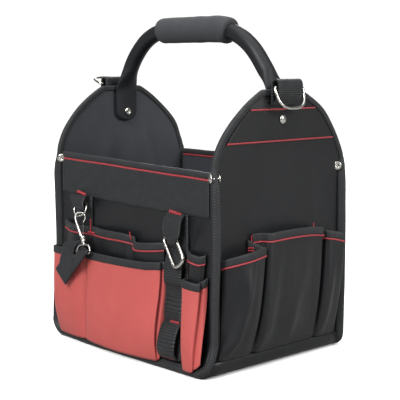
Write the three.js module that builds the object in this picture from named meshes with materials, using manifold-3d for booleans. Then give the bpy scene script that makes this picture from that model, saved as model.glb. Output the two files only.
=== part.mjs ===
// Open-topped tool bag: a stiffened cloth box with two gabled ends, a steel tube handle that turns on
// a rivet in each end, pleated tool pockets on the front and ends, webbing, and clip-on hardware.
// Millimetres, +Z up. The origin is the middle of the base's underside. -Y is the front, +X the right.
import * as THREE from 'three';
import { mergeVertices } from 'three/addons/utils/BufferGeometryUtils.js';
import Module from 'manifold-3d';

// Driving dimensions
const WIDTH = 280;
const DEPTH = 210;
const RIM_HEIGHT = 217.5;
const RIM_RISE = 7.4;
const GABLE_HEIGHT = 302;
const HANDLE_HEIGHT = 368.5;
const WALL = 2.5;
const CLOTH = 1.5;
const PATCH = 1.2;
const WEBBING = 1.6;
const GAP = 0.3;

// Bound seams and edges: tape folded over the cut edges, so each is a solid rounded bar
const SEAM_THICK = 7.5;
const SEAM_DEEP = 10;
const EDGE_THICK = 5.5;
const EDGE_DEEP = 7;
const RIM_DEEP = 9;
const POCKET_EDGE_THICK = 3.2;
const POCKET_EDGE_DEEP = 9;
const CORNER_RADIUS = 16;
const WALL_INSET = 2.3;
const WALL_CLEAR = 7;
const ROUND_OFF = 0.3;

// Handle, rivets and wire goods
const TUBE_RADIUS = 9.5;
const GRIP_RADIUS = 15.2;
const GRIP_LENGTH = 116;
const TONGUE_END = 258.6;
const TONGUE_HALF_THICK = 2;
const HANDLE_PIVOT = 269.6;
const RIVET_HEAD = 5.2;
const RIVET_DOME = 2.6;
const RIVET_ROLL = 1.4;
const RIVET_SHANK = 2.6;
const D_RING_WIRE = 1.7;
const D_RING_WEBBING = 38;
const SMALL_WIRE = 1.1;
const CLIP_WIRE = 1.9;
const HOOK_WIRE = 1.6;
const SNAP_GATE_WIRE = 1.2;
const WIRE_SIDES = 8;

// Places worked out from the sizes above
const DIAGONAL = Math.SQRT1_2;
const SEAM_X = WIDTH / 2 - SEAM_DEEP / 2 * DIAGONAL + ROUND_OFF;
const SEAM_Y = DEPTH / 2 - SEAM_DEEP / 2 * DIAGONAL + ROUND_OFF;
const SEAM_Z = 5.6;
const END_X = SEAM_X - WALL_INSET;
const FRONT_Y = SEAM_Y - WALL_INSET;
const END_FACE = END_X + WALL / 2;
const FRONT_FACE = FRONT_Y + WALL / 2;
const PANEL_HALF_X = SEAM_X - WALL_CLEAR;
const PANEL_HALF_Y = SEAM_Y - WALL_CLEAR - GAP;
const BASE_CLEAR = 1.6;
const BASE_HALF_Y = FRONT_FACE - WALL - BASE_CLEAR;
const BASE_TURN_UP = 18;
const TONGUE_X = END_X - EDGE_THICK / 2 - TONGUE_HALF_THICK - 2 * GAP;
const GRIP_BORE = TUBE_RADIUS + 2 * GAP;
const BAND_LOW = 170;

const vec = (x, y, z) => new THREE.Vector3(x, y, z);
const lerp = THREE.MathUtils.lerp;
const steps = (count) => Array.from({ length: count + 1 }, (_, i) => i / count);

// Colours, roughness and metalness of the real finishes
const FINISHES = {
  cloth: { color: 0x343436, roughness: 0.9, metalness: 0 },
  red_cloth: { color: 0xc2484c, roughness: 0.75, metalness: 0 },
  binding: { color: 0x3c3d40, roughness: 0.85, metalness: 0 },
  webbing: { color: 0x2f3032, roughness: 0.9, metalness: 0 },
  foam: { color: 0x4a4a4c, roughness: 0.95, metalness: 0 },
  painted_steel: { color: 0x26292c, roughness: 0.35, metalness: 0.3 },
  nickel: { color: 0xd6d6d0, roughness: 0.2, metalness: 1 },
};

const bag = new THREE.Group();
const add = (name, finish, geometry) => {
  const mesh = new THREE.Mesh(geometry, new THREE.MeshStandardMaterial(FINISHES[finish]));
  mesh.name = name;
  bag.add(mesh);
};

// A closed solid through rings of points. Each open end is closed by joining the ring's two sides.
function loft(rings, closed = false) {
  const size = rings[0].length;
  const points = rings.flat();
  const faces = [];
  const quad = (a, b, c, d) => faces.push(a, b, c, a, c, d);
  const spans = closed ? rings.length : rings.length - 1;
  for (let i = 0; i < spans; i += 1) {
    const here = i * size;
    const next = ((i + 1) % rings.length) * size;
    for (let j = 0; j < size; j += 1) {
      const k = (j + 1) % size;
      quad(here + j, here + k, next + k, next + j);
    }
  }
  if (!closed) {
    const last = (rings.length - 1) * size;
    for (let j = 0; j < size / 2 - 1; j += 1) {
      const k = size - 1 - j;
      quad(j, k, k - 1, j + 1);
      quad(last + j, last + j + 1, last + k - 1, last + k);
    }
  }
  const volume = faces.reduce((sum, _, i) => {
    if (i % 3) return sum;
    const [a, b, c] = [points[faces[i]], points[faces[i + 1]], points[faces[i + 2]]];
    return sum + a.dot(b.clone().cross(c));
  }, 0);
  if (volume < 0) faces.reverse();
  const geometry = new THREE.BufferGeometry().setFromPoints(points);
  geometry.setIndex(faces);
  return geometry;
}

// A wall of even thickness on a grid of points: columns run along the wall, and each holds its rows.
function wall(columns, thickness) {
  const across = columns.length - 1;
  const up = columns[0].length - 1;
  const normal = (i, j) => {
    const along = columns[Math.min(i + 1, across)][j].clone().sub(columns[Math.max(i - 1, 0)][j]);
    const rise = columns[i][Math.min(j + 1, up)].clone().sub(columns[i][Math.max(j - 1, 0)]);
    return along.cross(rise).normalize();
  };
  return loft(columns.map((column, i) => {
    const side = (sign) => column.map((p, j) => (
      p.clone().addScaledVector(normal(i, j), sign * thickness / 2)));
    return [...side(1), ...side(-1).reverse()];
  }));
}

// A rounded bar: each station has a centre, a direction for its depth and one for its thickness.
function bar(stations, deep, thick) {
  const round = Math.min(deep, thick) * 0.3;
  const corners = [];
  for (const [a, b] of [[1, 1], [-1, 1], [-1, -1], [1, -1]]) {
    const flat = [a * (deep / 2 - round), b * thick / 2];
    const edge = [a * deep / 2, b * (thick / 2 - round)];
    corners.push(...(a * b > 0 ? [edge, flat] : [flat, edge]));
  }
  const ringOrder = [...corners.slice(7), ...corners.slice(0, 7)];
  return loft(stations.map(({ at, deepWay, thickWay }) => ringOrder.map(([u, w]) => (
    at.clone().addScaledVector(deepWay, u).addScaledVector(thickWay, w)))));
}

// Corner points joined by straight lines, with each corner rounded off over the length in `cut`.
function roundedCurve(corners) {
  const curve = new THREE.CurvePath();
  let from = corners[0].at;
  for (let i = 1; i < corners.length - 1; i += 1) {
    const { at, cut } = corners[i];
    const into = at.clone().add(corners[i - 1].at.clone().sub(at).setLength(cut));
    const out = at.clone().add(corners[i + 1].at.clone().sub(at).setLength(cut));
    if (from.distanceTo(into) > 0.05) curve.add(new THREE.LineCurve3(from, into));
    curve.add(new THREE.QuadraticBezierCurve3(into, at, out));
    from = out;
  }
  curve.add(new THREE.LineCurve3(from, corners.at(-1).at));
  return curve;
}

// Round wire along a curve
function wire(curve, radius, bends) {
  const section = new THREE.Shape();
  for (let i = 0; i < WIRE_SIDES; i += 1) {
    const turn = i / WIRE_SIDES * 2 * Math.PI;
    section[i ? 'lineTo' : 'moveTo'](radius * Math.cos(turn), radius * Math.sin(turn));
  }
  return new THREE.ExtrudeGeometry(section, { steps: bends, extrudePath: curve });
}

// Joins and cuts of closed solids
const wasm = await Module();
wasm.setup();

function toSolid(geometry) {
  const bare = geometry.clone();
  bare.deleteAttribute('normal');
  bare.deleteAttribute('uv');
  const merged = mergeVertices(bare, 1e-3);
  const vertProperties = new Float32Array(merged.attributes.position.array);
  return new wasm.Manifold(new wasm.Mesh({
    numProp: 3, vertProperties, triVerts: new Uint32Array(merged.index.array) }));
}

function toGeometry(solid) {
  const { vertProperties, triVerts } = solid.getMesh();
  const geometry = new THREE.BufferGeometry();
  geometry.setAttribute('position', new THREE.BufferAttribute(new Float32Array(vertProperties), 3));
  geometry.setIndex(new THREE.BufferAttribute(new Uint32Array(triVerts), 1));
  return geometry;
}

const cut = (geometry, ...tools) => toGeometry(
  tools.reduce((solid, tool) => solid.subtract(toSolid(tool)), toSolid(geometry)));
const join = (geometry, ...others) => toGeometry(
  others.reduce((solid, other) => solid.add(toSolid(other)), toSolid(geometry)));

// A straight pin through a point, for the holes that rivets pass through
function pin(at, way, radius, length) {
  const geometry = new THREE.CylinderGeometry(radius, radius, length, WIRE_SIDES);
  geometry.applyQuaternion(new THREE.Quaternion().setFromUnitVectors(vec(0, 1, 0), way));
  return geometry.translate(at.x, at.y, at.z);
}

// A tubular rivet: a domed head at one end of its shank and a rolled ring at the other
function rivet(at, way, grip) {
  const half = grip / 2;
  const profile = [
    [0, half + RIVET_DOME], [RIVET_HEAD * 0.6, half + RIVET_DOME * 0.77], [RIVET_HEAD, half],
    [RIVET_SHANK, half], [RIVET_SHANK, -half], [RIVET_HEAD * 0.9, -half],
    [RIVET_HEAD * 0.6, -half - RIVET_ROLL], [0, -half - RIVET_ROLL * 0.3],
  ].map(([r, h]) => new THREE.Vector2(r, h)).reverse();
  const geometry = new THREE.LatheGeometry(profile, 10);
  geometry.applyQuaternion(new THREE.Quaternion().setFromUnitVectors(vec(0, 1, 0), way));
  return geometry.translate(at.x, at.y, at.z);
}

// Outline of an end panel: half its width, with its binding, at each height
const GABLE_OUTLINE = [
  { height: RIM_HEIGHT, half: 103.5 },
  { height: 232, half: 101.5 },
  { height: 250, half: 92.5 },
  { height: 269, half: 76 },
  { height: 287, half: 54.5 },
  { height: 300, half: 33.5 },
  { height: GABLE_HEIGHT, half: 29 },
];
// The same outline all the way round, as stations with their outward direction
const GABLE_START = 1.5;
const gableEdge = GABLE_OUTLINE.map(({ height, half }, i) => [half, i ? height : height + GABLE_START]);
const gableLine = [...gableEdge.map(([y, z]) => [-y, z]), ...[...gableEdge].reverse()];
const GABLE_STATIONS = gableLine.map(([y, z], i) => {
  const [before, after] = [gableLine[Math.max(i - 1, 0)], gableLine[Math.min(i + 1, gableLine.length - 1)]];
  const isEnd = i === 0 || i === gableLine.length - 1;
  const slope = vec(0, before[1] - after[1], after[0] - before[0]).normalize();
  return { edge: vec(0, y, z), outward: isEnd ? vec(0, Math.sign(y), 0) : slope };
});
// Where the panel stops inside its binding, from the rim to the top
const GABLE_INSIDE = GABLE_STATIONS.slice(gableEdge.length).reverse().map(({ edge, outward }) => (
  edge.clone().addScaledVector(outward, -EDGE_DEEP - GAP)));
function gableInside(height) {
  const row = Math.max(1, GABLE_INSIDE.findIndex((p) => p.z >= height));
  const [low, high] = [GABLE_INSIDE[row - 1], GABLE_INSIDE[row]];
  return lerp(low.y, high.y, (height - low.z) / (high.z - low.z));
}

// The front rim, and the band sewn below it, rise towards the left, where the cloth has been pulled up.
const rise = (x) => RIM_RISE * (PANEL_HALF_X - x) / (2 * PANEL_HALF_X);
const rimTop = (x) => RIM_HEIGHT + rise(x);
const bandLow = (x) => BAND_LOW + rise(x);

// Front and back panels with rounded lower corners
const PANEL_LOW = 13;
const panelHalfX = (z) => {
  const left = Math.max(0, CORNER_RADIUS - (z - PANEL_LOW));
  return PANEL_HALF_X - (CORNER_RADIUS - Math.sqrt(CORNER_RADIUS ** 2 - left ** 2));
};
for (const { name, side, top } of [
  { name: 'front_panel', side: -1, top: rimTop },
  { name: 'back_panel', side: 1, top: () => RIM_HEIGHT },
]) {
  const columns = steps(10).map((u) => [0, 0.03, 0.09, 0.35, 0.7, 1].map((v) => {
    const x = (u * 2 - 1) * panelHalfX(PANEL_LOW + v * (RIM_HEIGHT - PANEL_LOW));
    return vec(x, side * FRONT_Y, lerp(PANEL_LOW, top(x) - RIM_DEEP - GAP, v));
  }));
  add(name, 'cloth', wall(columns, WALL));
}

// Base: one strip across the floor of the bag, turned up at both ends
const BASE_RADIUS = 14;
const turnUpX = END_FACE + GAP + WALL / 2;
const baseCurve = roundedCurve([
  { at: vec(-turnUpX, 0, BASE_TURN_UP) },
  { at: vec(-turnUpX, 0, WALL / 2), cut: BASE_RADIUS },
  { at: vec(turnUpX, 0, WALL / 2), cut: BASE_RADIUS },
  { at: vec(turnUpX, 0, BASE_TURN_UP) },
]);
const baseRow = [1, 3].flatMap((bend) => steps(6).map((t) => baseCurve.curves[bend].getPoint(t)));
const basePoints = [vec(-turnUpX, 0, BASE_TURN_UP), ...baseRow, vec(turnUpX, 0, BASE_TURN_UP)];
add('base_panel', 'cloth', wall(
  [-1, 1].map((side) => basePoints.map((p) => p.clone().setY(side * BASE_HALF_Y))), WALL));

// End panels: straight sides up to the rim, then the gable. Each has a hole for the handle rivet.
const ENDS = [{ end: 'left', side: -1 }, { end: 'right', side: 1 }];
const END_LAP = 3.5;
const END_LOW = BASE_TURN_UP - END_LAP;
const END_LEVELS = [
  { z: END_LOW, half: PANEL_HALF_Y },
  { z: 110, half: PANEL_HALF_Y },
  ...GABLE_INSIDE.map((p) => ({ z: p.z, half: Math.min(PANEL_HALF_Y, p.y) })),
];
for (const { end, side } of ENDS) {
  const columns = steps(4).map((u) => END_LEVELS.map(({ z, half }) => (
    vec(side * END_X, (u * 2 - 1) * half, z))));
  const hole = pin(vec(side * END_X, 0, HANDLE_PIVOT), vec(1, 0, 0), RIVET_SHANK + GAP, 4 * WALL);
  add(`end_panel_${end}`, 'cloth', cut(wall(columns, WALL), hole));
}

// Bound seams: down one corner, round the bottom and up the other corner of the front and the back
const SEAM_TOP = RIM_HEIGHT - 0.5;
const RIVET_HEIGHT = 212;
const CORNERS = [];
for (const { name, side } of [{ name: 'front', side: -1 }, { name: 'back', side: 1 }]) {
  const stations = [];
  const station = (x, z, turn, xSide) => {
    const sideways = vec(xSide * Math.cos(turn), 0, -Math.sin(turn));
    const deepWay = sideways.clone().add(vec(0, side, 0)).multiplyScalar(DIAGONAL);
    const thickWay = sideways.clone().sub(vec(0, side, 0)).multiplyScalar(DIAGONAL);
    stations.push({ at: vec(x, side * SEAM_Y, z), deepWay, thickWay });
  };
  const centreX = SEAM_X - CORNER_RADIUS;
  const centreZ = SEAM_Z + CORNER_RADIUS;
  const corner = (xSide, turns) => turns.forEach((t) => {
    const turn = t * Math.PI / 2;
    const x = xSide * (centreX + CORNER_RADIUS * Math.cos(turn));
    station(x, centreZ - CORNER_RADIUS * Math.sin(turn), turn, xSide);
  });
  [SEAM_TOP, 150, 80].forEach((z) => station(-SEAM_X, z, 0, -1));
  corner(-1, steps(5));
  corner(1, steps(5).reverse());
  [80, 150, SEAM_TOP].forEach((z) => station(SEAM_X, z, 0, 1));
  const holes = [-1, 1].map((xSide) => {
    const at = vec(xSide * SEAM_X, side * SEAM_Y, RIVET_HEIGHT);
    const way = vec(xSide, -side, 0).multiplyScalar(DIAGONAL);
    CORNERS.push({ name: `corner_rivet_${name}_${xSide < 0 ? 'left' : 'right'}`, at, way });
    return pin(at, way, RIVET_SHANK + GAP, 3 * SEAM_THICK);
  });
  add(`${name}_binding`, 'binding', cut(bar(stations, SEAM_DEEP, SEAM_THICK), ...holes));
}
for (const { name, at, way } of CORNERS) {
  add(name, 'nickel', rivet(at, way, SEAM_THICK + 2 * GAP));
}

// Rim bindings on the front and back panels
for (const { name, side, top } of [
  { name: 'front_rim_binding', side: -1, top: rimTop },
  { name: 'back_rim_binding', side: 1, top: () => RIM_HEIGHT },
]) {
  const stations = steps(14).map((u) => {
    const x = (u * 2 - 1) * PANEL_HALF_X;
    const at = vec(x, side * FRONT_Y, top(x) - RIM_DEEP / 2);
    return { at, deepWay: vec(0, 0, 1), thickWay: vec(0, 1, 0) };
  });
  add(name, 'binding', bar(stations, RIM_DEEP, EDGE_THICK));
}

// Gable bindings: from the rim at the front, over the top and down to the rim at the back
for (const { end, side } of ENDS) {
  const stations = GABLE_STATIONS.map(({ edge, outward }) => {
    const at = edge.clone().setX(side * END_X).addScaledVector(outward, -EDGE_DEEP / 2);
    return { at, deepWay: outward, thickWay: vec(1, 0, 0) };
  });
  add(`gable_binding_${end}`, 'binding', bar(stations, EDGE_DEEP, EDGE_THICK));
}

// Woven band below the front rim
const bandFace = FRONT_FACE + GAP + PATCH / 2;
add('front_band', 'webbing', wall(steps(10).map((u) => {
  const x = (u * 2 - 1) * (PANEL_HALF_X - 1);
  return [vec(x, -bandFace, bandLow(x)), vec(x, -bandFace, rimTop(x) - RIM_DEEP - GAP)];
}), PATCH));

// Reinforcing patch across each gable, with the handle rivet through it
const PATCH_LEVELS = [246, 250, 258, HANDLE_PIVOT, 281];
const patchFace = END_FACE + GAP + PATCH / 2;
for (const { end, side } of ENDS) {
  const columns = steps(6).map((u) => PATCH_LEVELS.map((z) => (
    vec(side * patchFace, (u * 2 - 1) * (gableInside(z) - GAP), z))));
  const hole = pin(vec(side * END_X, 0, HANDLE_PIVOT), vec(1, 0, 0), RIVET_SHANK + GAP, 6 * WALL);
  add(`gable_patch_${end}`, 'cloth', cut(wall(columns, PATCH), hole));
}

// Handle: a tube bent over the bag, with its ends flattened into tongues inside the end panels
// The left leg has been pulled a little straighter than the right one.
const HANDLE_BENDS = [
  { x: TONGUE_X, z: GABLE_HEIGHT - 2, cut: 10 },
  { x: 76, z: HANDLE_HEIGHT, cut: 44 },
  { x: -80, z: HANDLE_HEIGHT, cut: 32 },
  { x: -114.5, z: 331, cut: 18 },
  { x: -TONGUE_X, z: GABLE_HEIGHT - 2, cut: 8 },
];
const handleCurve = roundedCurve([
  { at: vec(TONGUE_X, 0, TONGUE_END) },
  ...HANDLE_BENDS.map((bend) => ({ at: vec(bend.x, 0, bend.z), cut: bend.cut })),
  { at: vec(-TONGUE_X, 0, TONGUE_END) },
]);
// How the tube is flattened, by distance from its end: half width, half thickness, squareness
const FLATTENING = [
  { from_end: 0, half_width: 6, half_thick: TONGUE_HALF_THICK, power: 0.5 },
  { from_end: 2, half_width: 10.5, half_thick: TONGUE_HALF_THICK, power: 0.4 },
  { from_end: 6, half_width: 14.6, half_thick: TONGUE_HALF_THICK, power: 0.35 },
  { from_end: 12, half_width: 16.4, half_thick: TONGUE_HALF_THICK, power: 0.35 },
  { from_end: 40, half_width: 16.4, half_thick: TONGUE_HALF_THICK, power: 0.35 },
  { from_end: 48, half_width: 15, half_thick: 3.6, power: 0.6 },
  { from_end: 57, half_width: 12, half_thick: 6.6, power: 0.8 },
  { from_end: 67, half_width: TUBE_RADIUS, half_thick: TUBE_RADIUS, power: 1 },
];
const TUBE_SIDES = 12;
const GRIP_SIDES = 14;
const handleLength = handleCurve.getLength();
function tubeSection(distance) {
  const row = FLATTENING.findIndex((r) => r.from_end >= distance);
  if (row < 0) return FLATTENING.at(-1);
  if (row === 0) return FLATTENING[0];
  const [low, high] = [FLATTENING[row - 1], FLATTENING[row]];
  const t = (distance - low.from_end) / (high.from_end - low.from_end);
  return Object.fromEntries(Object.keys(low).map((key) => [key, lerp(low[key], high[key], t)]));
}
function tubeRing(curve, distance, section, sides) {
  const u = THREE.MathUtils.clamp(distance / curve.getLength(), 0, 1);
  const at = curve.getPointAt(u);
  const outward = curve.getTangentAt(u).cross(vec(0, 1, 0)).normalize();
  return Array.from({ length: sides }, (_, i) => {
    const turn = (i + 0.5) / sides * 2 * Math.PI;
    const [c, s] = [Math.cos(turn), Math.sin(turn)];
    const flat = (value) => Math.sign(value) * Math.abs(value) ** section.power;
    return at.clone()
      .addScaledVector(vec(0, 1, 0), section.half_width * flat(c))
      .addScaledVector(outward, section.half_thick * flat(s));
  });
}
const endDistances = [...FLATTENING.map((r) => r.from_end), 80, 95, 108, 120, 132, 144, 156];
const handleDistances = [
  ...endDistances, handleLength / 2, ...endDistances.map((d) => handleLength - d).reverse()];
const handleRings = handleDistances.map((d) => (
  tubeRing(handleCurve, d, tubeSection(Math.min(d, handleLength - d)), TUBE_SIDES)));
const handleHoles = [-1, 1].map((side) => (
  pin(vec(side * TONGUE_X, 0, HANDLE_PIVOT), vec(1, 0, 0), RIVET_SHANK + GAP, 5 * TONGUE_HALF_THICK)));
add('handle_tube', 'painted_steel', cut(loft(handleRings), ...handleHoles));

// Foam grip on the middle of the handle
const GRIP_SHIFT = 2;
const GRIP_ROUNDING = [
  { from_end: 0, less: 2.5 },
  { from_end: 0.025, less: 0.5 },
  { from_end: 0.08, less: 0 },
  { from_end: 0.2, less: 0 },
  { from_end: 0.32, less: 0 },
];
const gripStart = (handleLength - GRIP_LENGTH) / 2 - GRIP_SHIFT;
const round = (radius) => ({ half_width: radius, half_thick: radius, power: 1 });
const gripRing = (u, radius) => (
  tubeRing(handleCurve, gripStart + u * GRIP_LENGTH, round(radius), GRIP_SIDES));
const gripOutside = [
  ...GRIP_ROUNDING.map((row) => gripRing(row.from_end, GRIP_RADIUS - row.less)),
  gripRing(0.5, GRIP_RADIUS),
  ...GRIP_ROUNDING.map((row) => gripRing(1 - row.from_end, GRIP_RADIUS - row.less)).reverse(),
];
const gripInside = [1, 0.9, 0.8, 0.68, 0.5, 0.32, 0.2, 0.1, 0].map((u) => gripRing(u, GRIP_BORE));
add('handle_grip', 'foam', loft([...gripOutside, ...gripInside], true));

// Handle rivets: the head outside the patch, the rolled ring inside the tongue
const rivetOutside = patchFace + PATCH / 2 + GAP;
const rivetInside = TONGUE_X - TONGUE_HALF_THICK - GAP;
for (const { end, side } of ENDS) {
  const middle = side * (rivetOutside + rivetInside) / 2;
  const pivot = vec(middle, 0, HANDLE_PIVOT);
  add(`handle_rivet_${end}`, 'nickel', rivet(pivot, vec(side, 0, 0), rivetOutside - rivetInside));
}

// Webbing loops on the gables and the D-rings that hang in them
const LOOP_BACK = END_X + EDGE_THICK / 2 + GAP + WEBBING / 2;
const LOOP_PATH = [
  { out: 0, height: 285 }, { out: 0, height: 296 }, { out: 0, height: 307 }, { out: 1.4, height: 310.6 },
  { out: 4.8, height: 312.4 }, { out: 8.4, height: 310.8 }, { out: 10, height: 306.5 },
  { out: 10, height: 300 }, { out: 7.2, height: 292 }, { out: 2.6, height: 285.5 },
];
const D_RING_OUT = LOOP_BACK + 6.8;
const D_RING_HEIGHT = 304.5;
const D_RING_PLAY = 1.2;
const D_RING_HALF = D_RING_WEBBING / 2 + D_RING_PLAY + D_RING_WIRE;
const D_RING_DROP = 24;
for (const { name, side, swing, aside } of [
  { name: 'left', side: -1, swing: THREE.MathUtils.degToRad(108), aside: -6 },
  { name: 'right', side: 1, swing: THREE.MathUtils.degToRad(20), aside: 0 },
]) {
  const columns = [-1, 0, 1].map((end) => LOOP_PATH.map(({ out, height }) => (
    vec(side * (LOOP_BACK + out), aside + end * D_RING_WEBBING / 2, height))));
  add(`d_ring_loop_${name}`, 'webbing', wall(columns, WEBBING));
  const [outward, down] = [Math.sin(swing), -Math.cos(swing)];
  const ringPoint = (y, drop) => vec(
    side * (D_RING_OUT + drop * outward), aside + y, D_RING_HEIGHT + drop * down);
  const curve = roundedCurve([
    { at: ringPoint(GAP / 2, 0) },
    { at: ringPoint(D_RING_HALF, 0), cut: 3.5 },
    { at: ringPoint(D_RING_HALF, D_RING_DROP), cut: D_RING_DROP - 5 },
    { at: ringPoint(-D_RING_HALF, D_RING_DROP), cut: D_RING_DROP - 5 },
    { at: ringPoint(-D_RING_HALF, 0), cut: 3.5 },
    { at: ringPoint(-GAP / 2, 0) },
  ]);
  add(`d_ring_${name}`, 'nickel', wire(curve, D_RING_WIRE, 19));
}

// Faces that pockets are sewn to: a place along the face, how far it stands out, and its height
const FACES = {
  front: (along, out, z) => vec(along, -(FRONT_FACE + out), z),
  right: (along, out, z) => vec(END_FACE + out, along, z),
  left: (along, out, z) => vec(-(END_FACE + out), along, z),
};

// A pocket is a wall through its fold lines. Each line stands out at the top by `out` and at the seam
// by `low_out`. Its tape binding sits on the wall's top edge.
function pocket(name, face, finish, low, folds) {
  const place = FACES[face];
  const through = (points) => new THREE.CatmullRomCurve3(points, false, 'centripetal');
  const tops = through(folds.map((f) => vec(f.along, f.out, f.top)));
  const lows = through(folds.map((f) => vec(f.low_along, f.low_out, low(f.low_out))));
  const samples = steps((folds.length - 1) * 2);
  const columns = samples.map((u) => {
    const [top, foot] = [tops.getPoint(u), lows.getPoint(u)];
    const edge = top.z - POCKET_EDGE_DEEP - GAP;
    return [0, 0.3, 0.65, 1].map((v) => {
      const out = lerp(foot.y, top.y, Math.sin(v * Math.PI / 2));
      return place(lerp(foot.x, top.x, v), out, lerp(foot.z, edge, v));
    });
  });
  add(name, finish, wall(columns, CLOTH));
  const stations = samples.map((u) => {
    const [top, way] = [tops.getPoint(u), tops.getTangent(u)];
    const at = place(top.x, top.y, top.z - POCKET_EDGE_DEEP / 2);
    const thickWay = place(top.x - way.y, top.y + way.x, top.z - POCKET_EDGE_DEEP / 2).sub(at).normalize();
    return { at, deepWay: vec(0, 0, 1), thickWay };
  });
  add(`${name}_binding`, 'binding', bar(stations, POCKET_EDGE_DEEP, POCKET_EDGE_THICK));
}

// The bottom seam slopes outwards and down, so a fold that stands further out reaches lower.
const frontSeam = (out) => 13 - out;
pocket('front_pocket_large', 'front', 'red_cloth', frontSeam, [
  { along: -124.5, out: 2.4, top: 112.5, low_along: -119, low_out: 3.2 },
  { along: -122.5, out: 18, top: 113.5, low_along: -118, low_out: 5 },
  { along: -95, out: 21, top: 113.5, low_along: -95, low_out: 6 },
  { along: -70, out: 17, top: 113.5, low_along: -69, low_out: 5 },
  { along: -64.5, out: 13, top: 113.5, low_along: -64.5, low_out: 4.4 },
  { along: -59, out: 16, top: 113.5, low_along: -60, low_out: 5.2 },
  { along: -10, out: 19, top: 113.5, low_along: -10, low_out: 7 },
  { along: 40, out: 15, top: 114.5, low_along: 40, low_out: 6 },
  { along: 61.5, out: 11, top: 116, low_along: 60, low_out: 5.2 },
  { along: 64.3, out: 2.4, top: 116.5, low_along: 64, low_out: 3 },
]);
pocket('front_pocket_small', 'front', 'red_cloth', frontSeam, [
  { along: 99.8, out: 2.4, top: 104, low_along: 99.6, low_out: 2.8 },
  { along: 100.5, out: 13, top: 103.8, low_along: 99.6, low_out: 7.6 },
  { along: 112, out: 15, top: 103, low_along: 107, low_out: 8.2 },
  { along: 124, out: 11, top: 102, low_along: 114.5, low_out: 7.8 },
  { along: 125.5, out: 6.6, top: 104.5, low_along: 115.8, low_out: 4.2 },
  { along: 127.6, out: 2.6, top: 107.5, low_along: 123, low_out: 2.4 },
]);
pocket('tool_pocket_left', 'front', 'cloth', frontSeam, [
  { along: -119.5, out: 2, top: 143, low_along: -114, low_out: 1.3 },
  { along: -95, out: 9.8, top: 141, low_along: -95, low_out: 1.5 },
  { along: -66, out: 4, top: 140.5, low_along: -65, low_out: 1.3 },
  { along: -38, out: 9.5, top: 140.5, low_along: -38, low_out: 1.5 },
  { along: 1, out: 8.5, top: 140, low_along: 5, low_out: 1.4 },
  { along: 10, out: 4, top: 137.5, low_along: 11, low_out: 1.3 },
  { along: 17, out: 8.5, top: 133.6, low_along: 20, low_out: 1.4 },
  { along: 42, out: 9, top: 135, low_along: 42, low_out: 1.5 },
  { along: 60, out: 2, top: 137, low_along: 58, low_out: 1.3 },
]);
pocket('tool_pocket_right', 'front', 'cloth', frontSeam, [
  { along: 102.8, out: 2, top: 132, low_along: 103, low_out: 1.3 },
  { along: 111, out: 8, top: 131.5, low_along: 107, low_out: 1.5 },
  { along: 119, out: 6, top: 130, low_along: 111, low_out: 1.4 },
  { along: 124, out: 2, top: 131, low_along: 114, low_out: 1.3 },
]);

// Three pockets on each end: the folds of the first two hang over the next pocket's start.
const SEAM_LIFT = 0.8;
const endSeam = () => BASE_TURN_UP + SEAM_LIFT;
const END_POCKETS = {
  front: [
    { along: -92, out: 2, top: 126, low_along: -92, low_out: 1.3 },
    { along: -87.5, out: 9, top: 128.5, low_along: -89, low_out: 2.8 },
    { along: -66, out: 18, top: 133, low_along: -72, low_out: 4.5 },
    { along: -40, out: 15, top: 135.5, low_along: -52.5, low_out: 4 },
    { along: -52, out: 2, top: 143, low_along: -56, low_out: 1.3 },
  ],
  middle: [
    { along: -46, out: 2, top: 149, low_along: -49, low_out: 1.3 },
    { along: -34, out: 6, top: 149, low_along: -44, low_out: 2.2 },
    { along: -22, out: 12.5, top: 149.5, low_along: -30, low_out: 3.5 },
    { along: 5, out: 15, top: 150.5, low_along: 5, low_out: 4 },
    { along: 40, out: 13, top: 149, low_along: 34, low_out: 4 },
    { along: 58, out: 10.5, top: 146.5, low_along: 48, low_out: 3.8 },
    { along: 49, out: 2, top: 147, low_along: 45, low_out: 1.3 },
  ],
  back: [
    { along: 54, out: 2, top: 142.5, low_along: 52, low_out: 1.3 },
    { along: 65, out: 3, top: 142, low_along: 57.5, low_out: 1.9 },
    { along: 74, out: 13, top: 140.6, low_along: 69, low_out: 3.3 },
    { along: 89, out: 17, top: 136.5, low_along: 87.5, low_out: 3.4 },
    { along: 92, out: 2, top: 134, low_along: 91.5, low_out: 1.3 },
  ],
};
for (const face of ['right', 'left']) {
  for (const [row, folds] of Object.entries(END_POCKETS)) {
    pocket(`end_pocket_${face}_${row}`, face, 'cloth', endSeam, folds);
  }
}

// Webbing straps down the front: a flat strap, and a second one tacked over it that stands out in loops
const STRAP_WIDTH = 30;
const STRAP_X = 81.8;
const LOOPS_WIDTH = 27.4;
const LOOPS_X = 80.2;
const HOOK_STRAP_X = -84;
const strapOut = GAP + WEBBING / 2;
const strapTop = bandLow(STRAP_X + STRAP_WIDTH / 2) - GAP;
const hookStrapTop = bandLow(HOOK_STRAP_X + STRAP_WIDTH / 2) - GAP;
const loopOut = strapOut + WEBBING + GAP;
function frontStrap(name, fullWidth, rows) {
  const columns = [-1, 1].map((end) => rows.map(({ x, out, z, turn = 0, width = fullWidth }) => {
    const tilt = THREE.MathUtils.degToRad(turn);
    const half = end * width / 2;
    return FACES.front(x + half * Math.cos(tilt), out, z - half * Math.sin(tilt));
  }));
  add(name, 'webbing', wall(columns, WEBBING));
}
frontStrap('strap_base', STRAP_WIDTH, [
  { x: STRAP_X, z: 13.5, out: strapOut }, { x: STRAP_X, z: strapTop, out: strapOut }]);
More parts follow.
